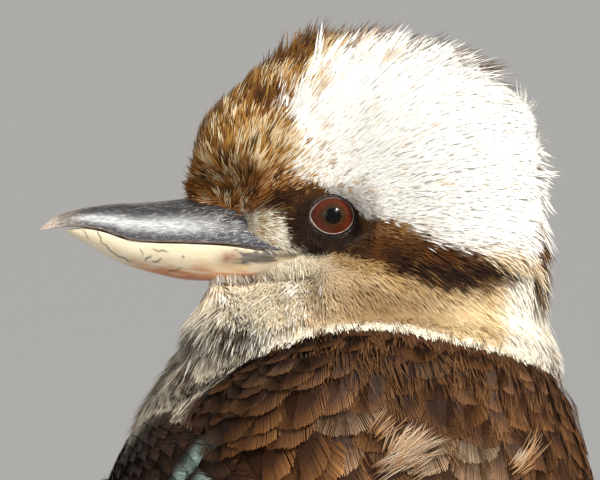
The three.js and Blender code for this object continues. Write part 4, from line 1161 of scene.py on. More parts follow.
# Ruffled plume: pale strands that lie across the mantle's feathers, from its lower left to its upper right.
plume = {"spots": [[400, 460, 26, 13], [382, 440, 12, 6], [508, 470, 14, 7]], "density": 0.5, "over": 3.6}  # pixels, mm
x, y = seenAt(triangleMiddle)
place = sum(dome(x - px - y + py, long, 0.8 * x - 0.8 * px + y - py, wide) for px, py, long, wide in plume["spots"])
facing = skinNormals[skinTriangles].mean(1) @ viewBack > 0.2
rng, roots, normals, (chance, second) = sow(plume["density"] * place * facing, 24, 2)
growTufts("ruffled_plume", roots + normals * plume["over"], normals, viewRight * 0.8 + upward * 0.75 + 0 * roots, {
    "strands": 7, "length": rng.uniform(5, 13, len(roots)), "width": 0.24, "lift": rng.uniform(0, 10, len(roots)),
    "bend": 0.8, "fan": 7, "stray": 15, "gap": 1.4, "sink": 0, "roll": 16, "vary": 0.14, "fade": 0.9,
}, (mix(plumage["mantleMid"], plumage["mantleEnd"], chance),
    mix(plumage["breast"] * 0.9, plumage["mantleEnd"], second)), rng)


# A point of the wing from its own s, t and h; side is -1 on the left and 1 on the right.
def wingSpot(s, t, h, side):
    x = wing["bendX"] + s * wingCos + t * wingSin
    z = wing["bendZ"] - s * wingSin + t * wingCos
    curl = np.clip(t - wing["shoulder"], 0, None) ** 2 / wing["curl"]
    y = side * (smooth(wingOut, 1, s) - t * t / wing["bow"] - curl + h)
    return np.stack(np.broadcast_arrays(x, y, z), -1)


# s, count, lowest t, highest t, length, half width, turn low, turn high, tip height, and 1 where blue ends are likely
wingTiers = [
    [-7, 7, -13, 4, 10, 4.2, -14, 14, 1.6, 0], [-2, 10, -17, 11, 10.5, 4.3, -12, 16, 1.8, 0],
    [3, 12, -20, 18, 11, 4.4, -11, 16, 2.0, 0], [8, 15, -21, 24.5, 11.5, 4.5, -10, 15, 2.1, 0],
    [13, 16, -22, 29, 12, 4.6, -9, 13, 2.2, 0], [18, 17, -23, 32, 12.5, 4.8, -8, 10, 2.3, 0],
    [23, 17, -23, 35, 13.5, 5.2, -7, 6, 2.4, 0], [28, 16, -24, 36.5, 15, 5.8, -6, 2, 2.6, 0],
    [34, 15, -24, 38, 18, 6.4, -5, -2, 2.8, 1], [41, 13, -24, 36, 22, 7.2, -4, -4, 3.0, 1],
    [50, 10, -24, 30, 28, 8, -4, -3, 3.2, 0], [62, 8, -24, 23, 38, 8.6, -3, -2, 3.0, 0],
]
wingTints = {
    "dark": tone(34, 22, 15), "mid": tone(74, 47, 28), "edge": tone(122, 90, 60), "blue": tone(146, 170, 162),
    "flight": tone(46, 34, 30), "flightEdge": tone(92, 68, 52),
}
coverts = {
    "barbs": 34, "from": 0.1, "to": 0.84, "waist": 0.42, "blunt": 0.8, "jitter": 0.14, "fray": 0.1, "tipWidth": 0.28,
    "tilt": 0.07, "droop": 0.1, "fluff": 0.2, "shaft": 0.2, "shaftTint": wingTints["dark"] * 0.7,
}


# One set of wing feathers: a row of the tables gives where they start, how they turn and how high their tips stand.
def growWing(name, rows, side, values, seed, paint, replaces=(), strips=False):
    rows = np.asarray(rows, float)
    s0, t0, long, half, turn, root, tip = rows.T[:7]

    def place(u, v, h):
        c, d = each(np.cos(np.radians(turn)), u), each(np.sin(np.radians(turn)), u)
        s = each(s0, u) + u * c - v * side * d
        t = each(t0, u) + u * d + v * side * c
        run = np.clip(u / each(long, u), 0, 1.1)
        return wingSpot(s, t, each(root, u) + each(tip - root, u) * run + h, side)

    growFeathers(name, long, half, place, paint, values, seed, replaces, strips)


for side, name in ((-1, "left"), (1, "right")):
    rng = np.random.default_rng(31)
    rows, kinds = [], []
    for s, number, low, high, long, half, turnLow, turnHigh, tipHeight, kind in wingTiers:
        k = np.linspace(0, 1, number)
        bow = 5 * (2 * k - 1) ** 2
        rows.append(np.column_stack([
            s + bow + rng.normal(0, 0.7, number), low + (high - low) * k + rng.normal(0, 0.5, number),
            long * rng.uniform(0.92, 1.06, number), half * rng.uniform(0.94, 1.06, number),
            turnLow + (turnHigh - turnLow) * k + rng.normal(0, 2, number), np.full(number, 0.8),
            tipHeight * rng.uniform(0.85, 1.15, number)]))
        kinds += [kind] * number
    kinds = np.array(kinds)
    blueness = rng.random(len(kinds))
    rows = np.concatenate(rows)

    # dark with a lighter rim, and the blue ends of some
    def covertPaint(a, across, chance):
        outer = step(0.35, 1, np.hypot(across * 0.7, a * 0.85))
        colour = mix(wingTints["dark"] * 0.8, wingTints["mid"], outer * (0.4 + 0.6 * chance))
        colour = mix(colour, wingTints["edge"], step(0.9, 1, a) * (chance > 0.5) * 0.7)
        needed = np.where((kinds == 1) & (rows[:, 1] > 12), np.where(rows[:, 0] < 38, 0.0, 0.7), 0.95)
        blue = each(blueness > needed, a)
        return mix(colour, wingTints["blue"], blue * step(0.5, 0.8, a) * (0.5 + 0.5 * chance))

    growWing("wing_coverts_" + name, rows, side, coverts, 32, covertPaint)

    k = np.arange(9)
    secondaries = np.column_stack([
        88 - 1.5 * k, -20 + 5.2 * k, 68 - 2.2 * k, np.full(9, 8.5), 1 - 0.6 * k, 0.4 - 0.25 * k, -0.6 - 0.35 * (8 - k)])
    k = np.arange(8)
    primaries = np.column_stack([
        80 + 0 * k, -18 + 1.7 * k, 125 - 7.5 * k, np.full(8, 6.8), 2.4 + 0.45 * k, -7.4 + 0.8 * k, -6.2 + 0.85 * k])

    # dark, with a lighter outer edge and tip
    def flightPaint(a, across, chance):
        colour = mix(wingTints["flight"] * 0.8, wingTints["flight"] * 1.35, chance)
        colour = mix(colour, wingTints["flightEdge"], step(0.75, 1, across * -side) * 0.75)
        return mix(colour, wingTints["edge"] * 0.9, step(0.95, 1.02, a) * 0.5)

    growWing("flight_feathers_" + name, np.concatenate([secondaries, primaries]), side, {
        "barbs": 70, "from": 0.02, "to": 0.95, "waist": 0.75, "blunt": 1.6, "jitter": 0.02, "fray": 0.03,
        "tipWidth": 0.5, "tilt": 0.05, "droop": 0.06, "fluff": 0.05, "shaft": 0.5,
        "shaftTint": wingTints["flight"] * 0.55,
    }, 33, flightPaint, replaces=("wing_" + name,), strips=True)

    # what the feathers grow from: a flat oval rod under them, from before the bend to behind the secondaries' roots
    s = np.concatenate([[-3.5], np.linspace(-3, 104, 60), [104.5]])
    half = smooth([[-3.5, 1], [1, 12], [8, 21], [25, 26], [60, 26], [90, 19], [104.5, 1]], 1, s)[:, None]
    thick = smooth([[-3.5, 0.3], [1, 1.3], [8, 3.0], [20, 4.4], [60, 4.2], [90, 2.6], [104.5, 0.4]], 1, s)[:, None]
    a = turns(64)[None]
    middle = -4.6 + 3.6 * step(12, -5, s)[:, None]
    grid = wingSpot(s[:, None], half * np.cos(a), middle + thick * np.sin(a), side)
    points, corners, starts = closedTube(grid)
    base = mix(wingTints["dark"] * 0.6, wingTints["mid"] * 0.7, grain(points, 3, 41))
    key = np.repeat(points[corners[starts]], np.diff(np.append(starts, len(corners))), 0)
    addPiece("wing_base_" + name, points, corners, starts, coatMaterial, tint=base,
             bake=bakeSpot(points[corners], key))

# The tail: u runs back along its slope, v across it and h above it, with a little droop.
tail = {"x": 90, "z": 77, "slope": 14, "droop": 0.00035, "length": 150, "half": 12.3}
tailCos, tailSin = cosSin(tail["slope"])


def tailSpot(u, v, h):
    x = tail["x"] + u * tailCos + h * tailSin
    z = tail["z"] - u * tailSin + h * tailCos - tail["droop"] * u * u
    return np.stack(np.broadcast_arrays(x, v, z), -1)


tailTints = {
    "rufous": tone(150, 88, 48), "bar": tone(34, 25, 22), "end": tone(232, 226, 214), "blue": tone(128, 168, 172),
}
order = np.repeat(np.arange(6), 2)
hand = np.tile([1.0, -1.0], 6)
tailLong = tail["length"] - 1.5 * order ** 1.6
tailLayer = -(1 + 0.95 * (order + 0.5 * (hand > 0)))
rng = np.random.default_rng(51)
tailPhase = rng.uniform(0, 1, 12)


# Each tail feather lies to its own side of the middle, further out and lower by its order, and fans out a little.
def tailPlace(u, v, h):
    side, layer = each(hand, u), each(order, u)
    centre = side * (2.5 + layer * (1.43 + 1.17 * np.minimum(1, u / 60))) + u * math.sin(math.radians(0.8)) * side
    return tailSpot(u, centre + v, each(tailLayer, u) + 1.0 + h)


# Rufous with dark bars every 17 mm, a wider bar near the end, and a white end.
def tailPaint(a, across, chance):
    far = a * tail["length"] + np.abs(across) * 3.5 + (chance - 0.5) * 1.6 + each(tailPhase, a) * 4
    wave = np.sin(far * 2 * math.pi / 17)
    barred = step(0.0, 0.35, wave) * step(0.16, 0.24, a) * (1 - step(0.86, 0.88, a))
    colour = mix(tailTints["rufous"] * (0.8 + 0.35 * chance[..., None]), tailTints["bar"], barred)
    colour = mix(colour, tailTints["bar"], step(0.835, 0.85, a) * (1 - step(0.875, 0.89, a)))
    return mix(colour, tailTints["end"], step(0.88, 0.9, a + (chance - 0.5) * 0.01))


growFeathers("tail_feathers", tailLong, np.full(12, tail["half"]), tailPlace, tailPaint, {
    "barbs": 100, "from": 0.0, "to": 0.96, "waist": 0.84, "blunt": 2.2, "jitter": 0.01, "fray": 0.03,
    "tipWidth": 0.55, "tilt": 0.05, "droop": 0.04, "fluff": 0.05, "shaft": 0.65,
    "shaftTint": tailTints["bar"]}, 52, replaces=("tail",), strips=True)

# The tail's coverts lie over its root in rows, and the same rows lie under it.
covertRows = [[-16, 5, 34, 11, 3.4], [-4, 6, 36, 11, 2.6], [10, 6, 38, 11, 1.6], [24, 5, 38, 11, 0.8]]
rows = []
for start, number, long, half, height in covertRows:
    for below in (0, 1):
        k = np.linspace(-1, 1, number)
        root, tip = (-7.5, -9.5 + start * 0.04) if below else (3.6, height + 0.3)
        rows.append(np.column_stack([start - 3 * np.abs(k), k * (13 + start * 0.05), k * 9]
                                    + [np.full(number, float(v)) for v in (long, half, root, tip, below)]))
rows = np.concatenate(rows)


# A covert is turned about its root and rises towards its tip. Those below the tail do the same downwards.
def covertPlace(u, v, h):
    s0, t0, turn, long, _, root, tip, below = (each(column, u) for column in rows.T)
    c, d = np.cos(np.radians(turn)), np.sin(np.radians(turn))
    flip = 1 - 2 * below
    v = v * flip
    height = root + (tip - root) * np.clip(u / long, 0, 1.1) + h * flip - np.abs(t0) * 0.1 * flip
    return tailSpot(s0 + u * c - v * d, t0 + u * d + v * c, height)


# Dark and rufous bars with a pale blue end above the tail, and the belly's colour with streaks below it.
def tailCovertPaint(a, across, chance):
    above = mix(tailTints["bar"], tailTints["rufous"], step(0.2, 0.6, np.sin(a * 12)) * 0.7)
    above = mix(above, tailTints["blue"], step(0.5, 0.95, a) * 0.55 * chance)
    under = mix(plumage["belly"], plumage["breastStreak"], step(0.3, 0.8, np.sin(a * 13)) * 0.5)
    return mix(above, under, each(rows[:, 7], a))


growFeathers("tail_coverts", rows[:, 3], rows[:, 4], covertPlace, tailCovertPaint, {
    **coverts, "to": 0.86, "fluff": 0.25, "shaft": 0.25, "shaftTint": tailTints["bar"] * 0.8,
}, 53)


# A material for horn: the tint attribute made lighter and darker by noise drawn out along the bill, with scuffs where
# that noise is high, by the tint's fourth number (on the upper bill raised along its painted highlight), and a bump of
# the same noise.
def hornMaterial(name, values):
    material, tree, shader = newMaterial(name)
    tint = addNode(tree, "Attribute", {}, attribute_name="tint")
    place = addNode(tree, "Attribute", {}, attribute_name="lie")
    drawnOut = addNode(tree, "Mapping", {"Vector": place["Vector"], "Scale": values.get("stretch", (1, 1, 1))})
    streak = addNode(tree, "TexNoise", {
        "Vector": drawnOut["Vector"], "Scale": values["scale"], "Detail": 6, "Roughness": 0.65})["Fac"]
    high = addRamp(tree, streak, zip(values["ramp"], [(0, 0, 0), (1, 1, 1)]))
    share = addNode(tree, "Math", {0: high, 1: tint["Alpha"]}, operation="MULTIPLY")
    scuffed = addNode(tree, "Mix", {
        "Factor": share["Value"], "A": addShade(tree, tint["Color"], streak, values["contrast"], 0.3, 0.7),
        "B": (*values["scuff"], 1)}, data_type="RGBA")
    feed(tree, shader, {
        "Base Color": scuffed["Result"], "Normal": addBump(tree, streak, values["bump"]),
        "Roughness": values["roughness"], "Specular IOR Level": values["specular"], "Coat Weight": values["coat"],
        "Coat Roughness": values.get("coatRoughness", 0.25)})
    return material


# Half of a bill: an oval in each slice, whose inner half is flattened, from its outer line, inner line and half width.
def billGrid(table, forward, around, outerColumn, innerColumn):
    a = turns(around)[None]
    outer, inner, half = (smooth(table, c, forward)[:, None] for c in (outerColumn, innerColumn, 3))
    out, high = oval(a, ovalPower["bill"])
    high = np.where(high < 0, high * 0.05, high)
    return forward[:, None] + 0 * a, half * out, inner + high * (outer - inner), out


# Colours laid over one another in turn, each with its share.
def layered(colour, *layers):
    for over, share in layers:
        colour = mix(colour, over, share)
    return colour


forward = np.concatenate([np.linspace(6, 81.8, 250), np.linspace(82.1, 86.1, 24), [86.2]])
F, L, U, out = billGrid(upperBill, forward, 168, 1, 2)
nostril = {"forward": 29.8, "up": -0.7, "long": 3.5, "high": 0.9, "deep": 1.7, "slope": 16}
slopeC, slopeS = cosSin(nostril["slope"])


# The nostril's own directions: along the slit and across it, turned by its slope.
def alongNostril(f, u):
    f, u = f - nostril["forward"], u - nostril["up"]
    return f * slopeC - u * slopeS, f * slopeS + u * slopeC


nx, ny = alongNostril(F, U)
slit = np.exp(-(nx / nostril["long"]) ** 4 - (ny / nostril["high"]) ** 2) * (np.abs(out) > 0.4)
lip = np.exp(-(nx / (nostril["long"] * 1.25)) ** 4 - ((ny - 1.5) / 0.8) ** 2) * (np.abs(out) > 0.4)
groove = dome(U - (smooth(upperBill, 1, F) - 4.6), 1.3) * step(60, 40, F) * step(26, 34, F) * 0.35
ridge = dome(U - (smooth(upperBill, 2, F) + 1.5), 1.2) * step(80, 60, F) * 0.25
L = L - np.sign(L) * (slit * nostril["deep"] + groove - ridge - lip * 0.3)
points, corners, starts = closedTube(headSpot(F, L, U))
pf, pl, pu = headCoords(points)
cut, top = smooth(upperBill, 2, pf), smooth(upperBill, 1, pf)
height = np.clip((pu - cut) / (top - cut), 0, 1)
along = grain(np.column_stack([pf * 0.22, pl, pu * 1.8]), 1.0, 61)
blotch = grain(points, 6, 62)
# painted highlight: a bright band along the middle of the bill's side stands in for the key light's reflection
paintedGleam = dome(height - 0.4 - 0.002 * (pf - 50), 0.17) * step(24, 48, pf) * step(82, 72, pf)
# painted shade: the nostril's slit is painted near black for the dark inside the opening
sx, sy = alongNostril(pf, pu)
nostrilShade = np.exp(-(sx / (nostril["long"] * 1.05)) ** 4 - (sy / (nostril["high"] * 1.1)) ** 2)
colour = layered(
    mix(tone(46, 45, 48), tone(98, 99, 106), np.clip(along * 0.9 + blotch * 0.5 - 0.25, 0, 1)),
    (tone(30, 28, 32), step(0.42, 0.78, height + (along - 0.5) * 0.3) * 0.85),
    (tone(216, 220, 226), paintedGleam * np.clip(0.5 + 0.9 * along, 0, 1) * 0.9),
    (tone(62, 64, 78), step(0.2, 0.06, height) * 0.6),
    (tone(150, 122, 100), dome(pu - cut, 0.4) * step(20, 34, pf) * 0.6),
    (tone(128, 112, 98), step(0.9, 1.0, height) * step(40, 60, pf) * 0.5),
    (tone(150, 138, 126), step(70, 80, pf) * 0.6),
    (tone(204, 188, 174), step(79, 83.5, pf) * 0.8),
    (tone(12, 10, 11), nostrilShade * 0.97))
# share of scuffs: real wear along the middle towards the base, raised along the painted highlight band
worn = 0.3 + 0.7 * dome(height - 0.36, 0.26) * step(50, 32, pf) + 0.25 * paintedGleam
upperMaterial = hornMaterial("dark_bill_horn", {
    "roughness": 0.3, "specular": 0.6, "coat": 0.35, "stretch": (0.3, 2.3, 2.3), "scale": 1.1, "ramp": (0.53, 0.66),
    "scuff": tone(214, 214, 210), "bump": 0.6, "contrast": 0.55})
addPiece("bill_top", points, corners, starts, upperMaterial, tint=np.column_stack([colour, worn]),
         replaces=("bill_upper",), lie=np.column_stack([pf, pl, pu]))

forward = np.concatenate([np.linspace(6, 75.5, 240), np.linspace(75.8, 78.4, 16), [78.5]])
F, L, U, _ = billGrid(lowerBill, forward, 176, 2, 1)
points, corners, starts = closedTube(headSpot(F, L, U))
pf, pl, pu = headCoords(points)
along = grain(np.column_stack([pf * 0.2, pl, pu * 1.6]), 1.3, 63)
speck = grain(np.column_stack([pf * 0.6, pl, pu]), 0.9, 64)
cut, keel = smooth(lowerBill, 1, pf), smooth(lowerBill, 2, pf)
share = np.clip((cut - pu) / np.maximum(cut - keel, 0.5), 0, 1)
paleLine = dome(share - 0.5 - 0.008 * (44 - pf), 0.06) * step(52, 44, pf)


# A patch with a ragged edge: 1 inside an oval of power 4 round (f, u) and 0 outside, its edge moved by noise.
def rawPatch(f, u, long, high, ragged):
    reach = (((pf - f) / long) ** 4 + ((pu - u) / high) ** 4) ** 0.25
    return step(1.3, 0.75, reach + (speck - 0.5) * ragged + (along - 0.5) * ragged)


colour = layered(
    mix(tone(255, 248, 222), tone(253, 234, 196), along),
    (tone(224, 146, 100), step(0.5, 0.9, share + (along - 0.5) * 0.35) * step(66, 50, pf) * 0.9),
    (tone(176, 84, 60), step(0.84, 1.0, share + (speck - 0.5) * 0.2) * step(54, 42, pf) * 0.6),
    (tone(252, 228, 190), paleLine * 0.6),
    (tone(142, 72, 46), dome(pf - 30, 3.4, pu + 12.6, 2.4) * (0.5 + 0.5 * speck)),
    (mix(tone(56, 52, 56), tone(128, 126, 130), np.clip(along * 1.4 - 0.3, 0, 1)),
     rawPatch(22, -12.6, 5.6, 2.3, 0.7) * 0.95),
    (tone(246, 238, 226), rawPatch(20.5, -15.4, 4.2, 1.5, 0.5) * 0.95),
    (tone(96, 84, 78), step(22, 14, pf) * step(0.4, 0.2, share) * 0.8))
scratches = [  # f, u, half length, half width, slant
    [68.5, -6.2, 1.9, 0.13, 71], [66, -9.7, 2.9, 0.13, 45], [61.5, -12.7, 3.0, 0.14, 24], [72.5, -5.8, 1.6, 0.11, 53],
    [50.6, -10.4, 2.3, 0.16, 6], [54.2, -12.6, 1.3, 0.2, -39], [51.5, -13.4, 1.6, 0.18, -19], [56, -10.9, 1.1, 0.1, 73],
    [43.8, -12.2, 0.4, 0.2, 0], [46.5, -16.2, 2.4, 0.12, -14],
]
for cf, cu, long, thin, slant in scratches:
    c, s = cosSin(slant)
    x, y = (pf - cf) * c + (pu - cu) * s, (pu - cu) * c - (pf - cf) * s
    y = y + 0.18 * np.sin(x * 2.1 + cf)
    colour = mix(colour, tone(58, 40, 32), np.exp(-(x / long) ** 4 - (y / (thin * 1.6)) ** 2) * 0.9)
lowerMaterial = hornMaterial("pale_bill_horn", {
    "roughness": 0.34, "specular": 0.5, "coat": 0.35, "stretch": (0.25, 1.4, 1.4), "scale": 0.9, "ramp": (0.58, 0.85),
    "scuff": tone(206, 160, 112), "bump": 0.15, "contrast": 0.07})
addPiece("bill_bottom", points, corners, starts, lowerMaterial, tint=colour, replaces=("bill_lower",),
         lie=np.column_stack([pf, pl, pu]))
print("bill done")

# Eyes: a ball whose front is flattened a little round the iris and bulges at the cornea, painted by the distance from
# the axis. The lid is a ring of skin that follows the ball, with a thin pale inner rim.
iris = {"pupil": 2.4, "squash": 0.86}
eyeTints = {"pupil": tone(1, 1, 2), "inner": tone(56, 38, 20), "iris": tone(86, 38, 22), "outer": tone(76, 27, 16)}
eyeMaterial = hornMaterial("eye_gloss", {
    "roughness": 0.3, "specular": 0.05, "coat": 0.35, "coatRoughness": 0.02, "scale": 700, "ramp": (0.6, 0.9),
    "scuff": tone(70, 40, 26), "bump": 0.0, "contrast": 0.05})
lidMaterial = hornMaterial("lid_skin", {
    "roughness": 0.5, "specular": 0.45, "coat": 0.1, "scale": 1.6, "ramp": (0.5, 0.8),
    "scuff": tone(100, 84, 76), "bump": 0.6, "contrast": 0.15})
for side, name in ((1, "left"), (-1, "right")):
    polar = np.concatenate([np.linspace(0.01, 0.95, 80), np.linspace(0.98, math.pi - 0.02, 20)])[:, None]
    a = turns(112)[None]
    reach = eyeShape["radius"] * np.sin(polar)
    deep = eyeShape["radius"] * np.cos(polar) + 0.55 * dome(reach, 3.6, power=4) * (polar < 1.2)
    grid = headSpot(reach * np.cos(a), side * (eyeShape["out"] + deep) + 0 * a, reach * np.sin(a))
    points, corners, starts = closedTube(grid)
    ef, el, eu = headCoords(points)
    r = np.hypot(ef, eu * 1.03)
    front = el * side > eyeShape["out"]
    turnAt = np.arctan2(eu, ef)
    fibre = grain(np.column_stack([np.cos(turnAt) * 14, np.sin(turnAt) * 14, r * 0.5]), 0.55, 71)
    colour = mix(eyeTints["inner"], eyeTints["iris"], step(3.1, 4.6, r + (fibre - 0.5) * 0.9))
    colour = mix(colour, eyeTints["outer"], step(4.7, 6.1, r) * 0.75)
    colour = colour * ((0.78 + 0.44 * fibre) * (1 - 0.03 * ef))[:, None]
    # painted light: a lighter band across the lower iris, below the shade of the upper lid
    colour = mix(colour, eyeTints["iris"] * 1.35, dome(eu + 3.2, 2) * 0.4 * front)
    colour = mix(eyeTints["pupil"], colour, step(iris["pupil"] - 0.12, iris["pupil"] + 0.22, r + (fibre - 0.5) * 0.12))
    colour = mix(colour, tone(30, 18, 16), step(5.9, 6.5, r))
    colour = np.where(front[:, None], colour, tone(20, 14, 14))
    addPiece("eyeball_" + name, points, corners, starts, eyeMaterial, tint=colour, replaces=("eye_" + name,),
             lie=points * millimetre)

    # lid: round the eye by a, and across its band by b, from the pale rim on the ball out under the feathers
    around = turns(180)[:, None]
    b = np.linspace(0, 1, 26)[None]
    major = smooth([[0, 5.78], [0.1, 6.0], [0.25, 6.4], [0.6, 7.6], [1, 9.6]], 1, b)
    major = major * (1 - 0.13 * dome(around - 2.2, 0.9) * step(0.2, 0.9, b))
    raised = smooth([[0, -0.35], [0.07, 0.35], [0.16, 0.5], [0.3, 0.25], [0.6, 0.1], [1, -1.4]], 1, b)
    corner = 1 + 0.1 * np.exp(-((np.abs(np.angle(np.exp(1j * (around - 0.05)))) / 0.42) ** 2)) * (1 - b * 0.4)
    squash = iris["squash"] + (1 - iris["squash"]) * b * 0.6
    lf, lu = np.cos(around) * major * corner, np.sin(around) * major * squash
    folds = 0.12 * np.sin(around * 46 + 3 * np.sin(around * 7)) * step(0.12, 0.3, b)
    folds = folds + 0.14 * np.sin(b * 34 + np.sin(around * 9)) * step(0.2, 0.4, b)
    ball = np.sqrt(np.clip(eyeShape["radius"] ** 2 - lf ** 2 - lu ** 2, 4, None))
    hold = np.where(b < 0.3, ball, ball[:, 7:8] + (b - 0.28) * -2.2)
    ll = side * (eyeShape["out"] + hold + raised + folds)
    front = headSpot(lf, ll, lu)
    back = headSpot(lf, ll - side * 1.2, lu)
    ring = np.concatenate([front, back[:, ::-1]], 1)
    rings, width = ring.shape[:2]
    faces = gridFaces(rings, width, rings, width)
    if side > 0:
        faces = faces[:, ::-1]
    points = ring.reshape(-1, 3)
    share = np.concatenate([np.broadcast_to(b, lf.shape), np.broadcast_to(b[:, ::-1], lf.shape)], 1).ravel()
    speck = grain(points, 0.7, 72)
    colour = mix(tone(196, 180, 172), tone(120, 98, 90), speck)
    turnAt = np.broadcast_to(around, (rings, width)).ravel()
    corner = dome(np.angle(np.exp(1j * turnAt)), 0.5)
    colour = colour * (0.62 + 0.38 * step(0.9, -0.5, np.sin(turnAt)))[:, None]
    dark = step(0.1 + 0.2 * corner, 0.17 + 0.26 * corner, share + (speck - 0.5) * 0.16 * corner)
    colour = mix(colour, mix(tone(30, 22, 20), tone(52, 40, 36), speck), dark)
    colour = mix(colour, plumage["lore"], step(0.5, 0.8, share))
    addPiece("lid_" + name, points, faces.ravel(), np.arange(len(faces)) * 4, lidMaterial, tint=colour,
             lie=points)
print("eyes done")

# Legs: a scaly shank and four toes to each foot, as limbs. The scales are a bump that follows Object coordinates.
footShape = {"toeRadius": 3.3, "toeTip": 2.3, "toeHigh": 2.5, "claw": 9}
shankStations = [[7, 0, 42, 3.8], [8.5, 0, 32, 3.7], [4, 0, 18, 3.3], [0, 0, 5, 4.2], [-1.5, 0, 2.6, 2.4]]
toes = {"inner": [-20, 24], "middle": [3, 31], "outer": [20, 26], "hind": [174, 17]}


def scalyMaterial():
    material, tree, shader = newMaterial("foot_scales")
    tint = addNode(tree, "Attribute", {}, attribute_name="tint")
    place = addNode(tree, "TexCoord", {})
    scales = addNode(tree, "TexVoronoi", {"Vector": place["Object"], "Scale": 620}, feature="DISTANCE_TO_EDGE")
    high = addRamp(tree, scales["Distance"], [(0.0, (0.35, 0.33, 0.3)), (0.16, (1, 1, 1))])
    shade = addNode(tree, "Mix", {"Factor": 1, "A": tint["Color"], "B": high}, data_type="RGBA", blend_type="MULTIPLY")
    feed(tree, shader, {
        "Base Color": shade["Result"], "Normal": addBump(tree, high, 0.6), "Roughness": 0.5,
        "Specular IOR Level": 0.45})
    return material


footMaterial = scalyMaterial()
clawMaterial = hornMaterial("claw_horn", {
    "roughness": 0.25, "specular": 0.55, "coat": 0.5, "scale": 0.9, "ramp": (0.6, 0.9),
    "scuff": tone(120, 112, 104), "bump": 0.1, "contrast": 0.2})


# Toes and claws keep above the floor: what would pass below it is flattened to a pad just over it.
def onFloor(points, height=0.05):
    z = points[..., 2]
    low = np.where(z < 0.6, height + (0.6 - height) * np.exp((z - 0.6) / 0.9), z)
    return np.concatenate([points[..., :2], low[..., None]], -1)


for side, name in ((-1, "left"), (1, "right")):
    shapes = [closedTube(onFloor(limb(legStations(shankStations, side), 70, 48)))]
    for toe, (turn, reach) in toes.items():
        c, s = math.cos(math.radians(turn)), math.sin(math.radians(turn))
        radius, tip, high = footShape["toeRadius"], footShape["toeTip"], footShape["toeHigh"]
        share = np.array([0, 0.18, 0.4, 0.62, 0.82, 1.0])
        size = np.array([radius, radius * 1.02, radius * 0.94, radius * 0.86, tip * 1.1, tip * 0.86])
        stations = [[-reach * k * c, reach * k * s, high, r] for k, r in zip(share, size)]
        grid = limb(legStations(stations, side), 60, 40)
        run = np.linspace(0, 1, 60)[:, None]
        knuckle = 1 + 0.07 * np.cos(run * 2 * math.pi * (3 if reach > 20 else 2)) * step(0.05, 0.2, run)
        centre = grid.mean(1, keepdims=True)
        scute = 1 + 0.03 * np.abs(np.sin(run * math.pi * reach / 2.1))
        grid = centre + (grid - centre) * (knuckle * scute)[..., None]
        shapes.append(closedTube(onFloor(grid)))
        along = np.linspace(0, 1, 5)
        bow = [0.2, 1.6, 1.9, 0.9, -1.4]
        rows = [[-(reach - 0.6 + footShape["claw"] * k) * c, (reach - 0.6 + footShape["claw"] * k) * s, high + b, r]
                for k, b, r in zip(along, bow, [1.7, 1.7, 1.3, 0.75, 0.12])]
        points, corners, starts = closedTube(onFloor(limb(legStations(rows, side), 40, 28)))
        colour = mix(tone(40, 34, 32), tone(70, 62, 56), grain(points, 1.2, 81))
        addPiece(f"talon_{name}_{toe}", points, corners, starts, clawMaterial, tint=colour,
                 replaces=(f"claw_{name}_{toe}",), lie=points)
    points, corners, starts = joined(shapes)
    colour = mix(tone(120, 112, 96), tone(158, 148, 124), grain(points, 3, 82))
    colour = mix(colour, tone(96, 88, 76), step(2.5, 0.4, points[:, 2]))
    addPiece("leg_" + name, points, corners, starts, footMaterial, tint=colour, replaces=("foot_" + name,))
print("legs done")

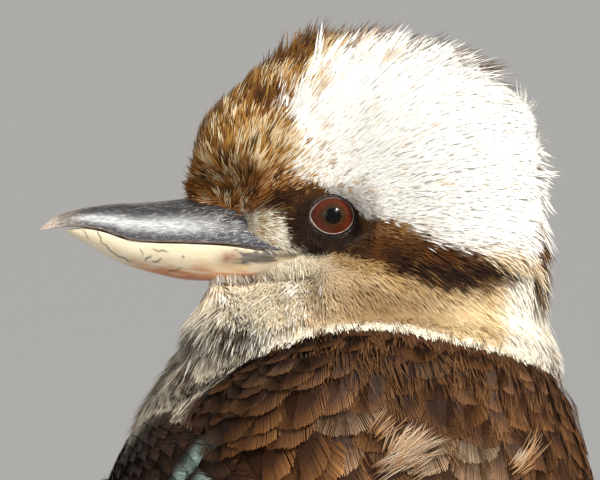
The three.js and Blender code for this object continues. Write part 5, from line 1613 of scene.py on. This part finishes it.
# Floor, plain and pale, with a world of nearly the same colour, and soft studio lights with the key at the right.
stageValues = {"world": (0.42, 0.41, 0.395), "radius": 40}
lightValues = [  # name, kind, right, towards the camera, up, size, strength, colour
    ["key", "SUN", 0.62, 1.2, 1.0, math.radians(10), 4.0, (1.0, 0.94, 0.84)],
    ["glint", "AREA", 0.5, 1.5, 0.75, 0.2, 5, (1.0, 0.98, 0.95)],
    ["fill", "AREA", -1.5, 1.5, 0.3, 1.4, 6.5, (1.0, 0.98, 0.95)],
]
# The floor under the key looks as bright as the world: its tint times the sum of both lights is the world's colour.
keyOffset = np.array(lightValues[0][2:5])
keyLight = np.array(lightValues[0][7]) * lightValues[0][6] * keyOffset[2] / np.linalg.norm(keyOffset) / math.pi
floorTint = np.array(stageValues["world"]) / (np.array(stageValues["world"]) + keyLight)
floorMesh = bpy.data.meshes.new("floor")
a = turns(96)
ring = np.column_stack([np.cos(a), np.sin(a), 0 * a]) * stageValues["radius"]
floorMesh.from_pydata(ring.tolist(), [], [list(range(len(a)))])
floor = newObject("floor", floorMesh)
floorMaterial, tree, shader = newMaterial("pale_floor")
feed(tree, shader, {"Base Color": (*floorTint, 1), "Roughness": 1, "Specular IOR Level": 0})
floorMesh.materials.append(floorMaterial)
world = bpy.data.worlds.new("studio")
world.use_nodes = True
feed(world.node_tree, world.node_tree.nodes["Background"], {"Color": (*stageValues["world"], 1), "Strength": 1})
bpy.context.scene.world = world


# Turns an object so that its own -z looks along a direction, with its own y as upright as it can be.
def aim(thing, direction):
    thing.rotation_euler = mathutils.Vector(direction).to_track_quat("-Z", "Y").to_euler()


cameraData = bpy.data.cameras.new("camera")
cameraData.sensor_width = cameraValues["sensor"]
cameraData.lens = cameraValues["lens"]
cameraData.clip_end = 60
camera = newObject("camera", cameraData)
camera.location = cameraPlace * millimetre + shift
aim(camera, -viewBack)
bpy.context.scene.camera = camera

flatBack = np.array([math.sin(azimuth), -math.cos(azimuth), 0])
for name, kind, across, toCamera, high, size, strength, colour in lightValues:
    data = bpy.data.lights.new(name, kind)
    if kind == "SUN":
        data.angle = size
    else:
        data.shape = "DISK"
        data.size = size
    data.energy = strength
    data.color = colour
    lamp = newObject(name, data)
    offset = viewRight * across + flatBack * toCamera + upward * high
    lamp.location = cameraTarget * millimetre + shift + offset
    aim(lamp, -offset)
    lamp.visible_camera = False
bpy.context.scene.view_settings.view_transform = "Standard"
print("stage done")
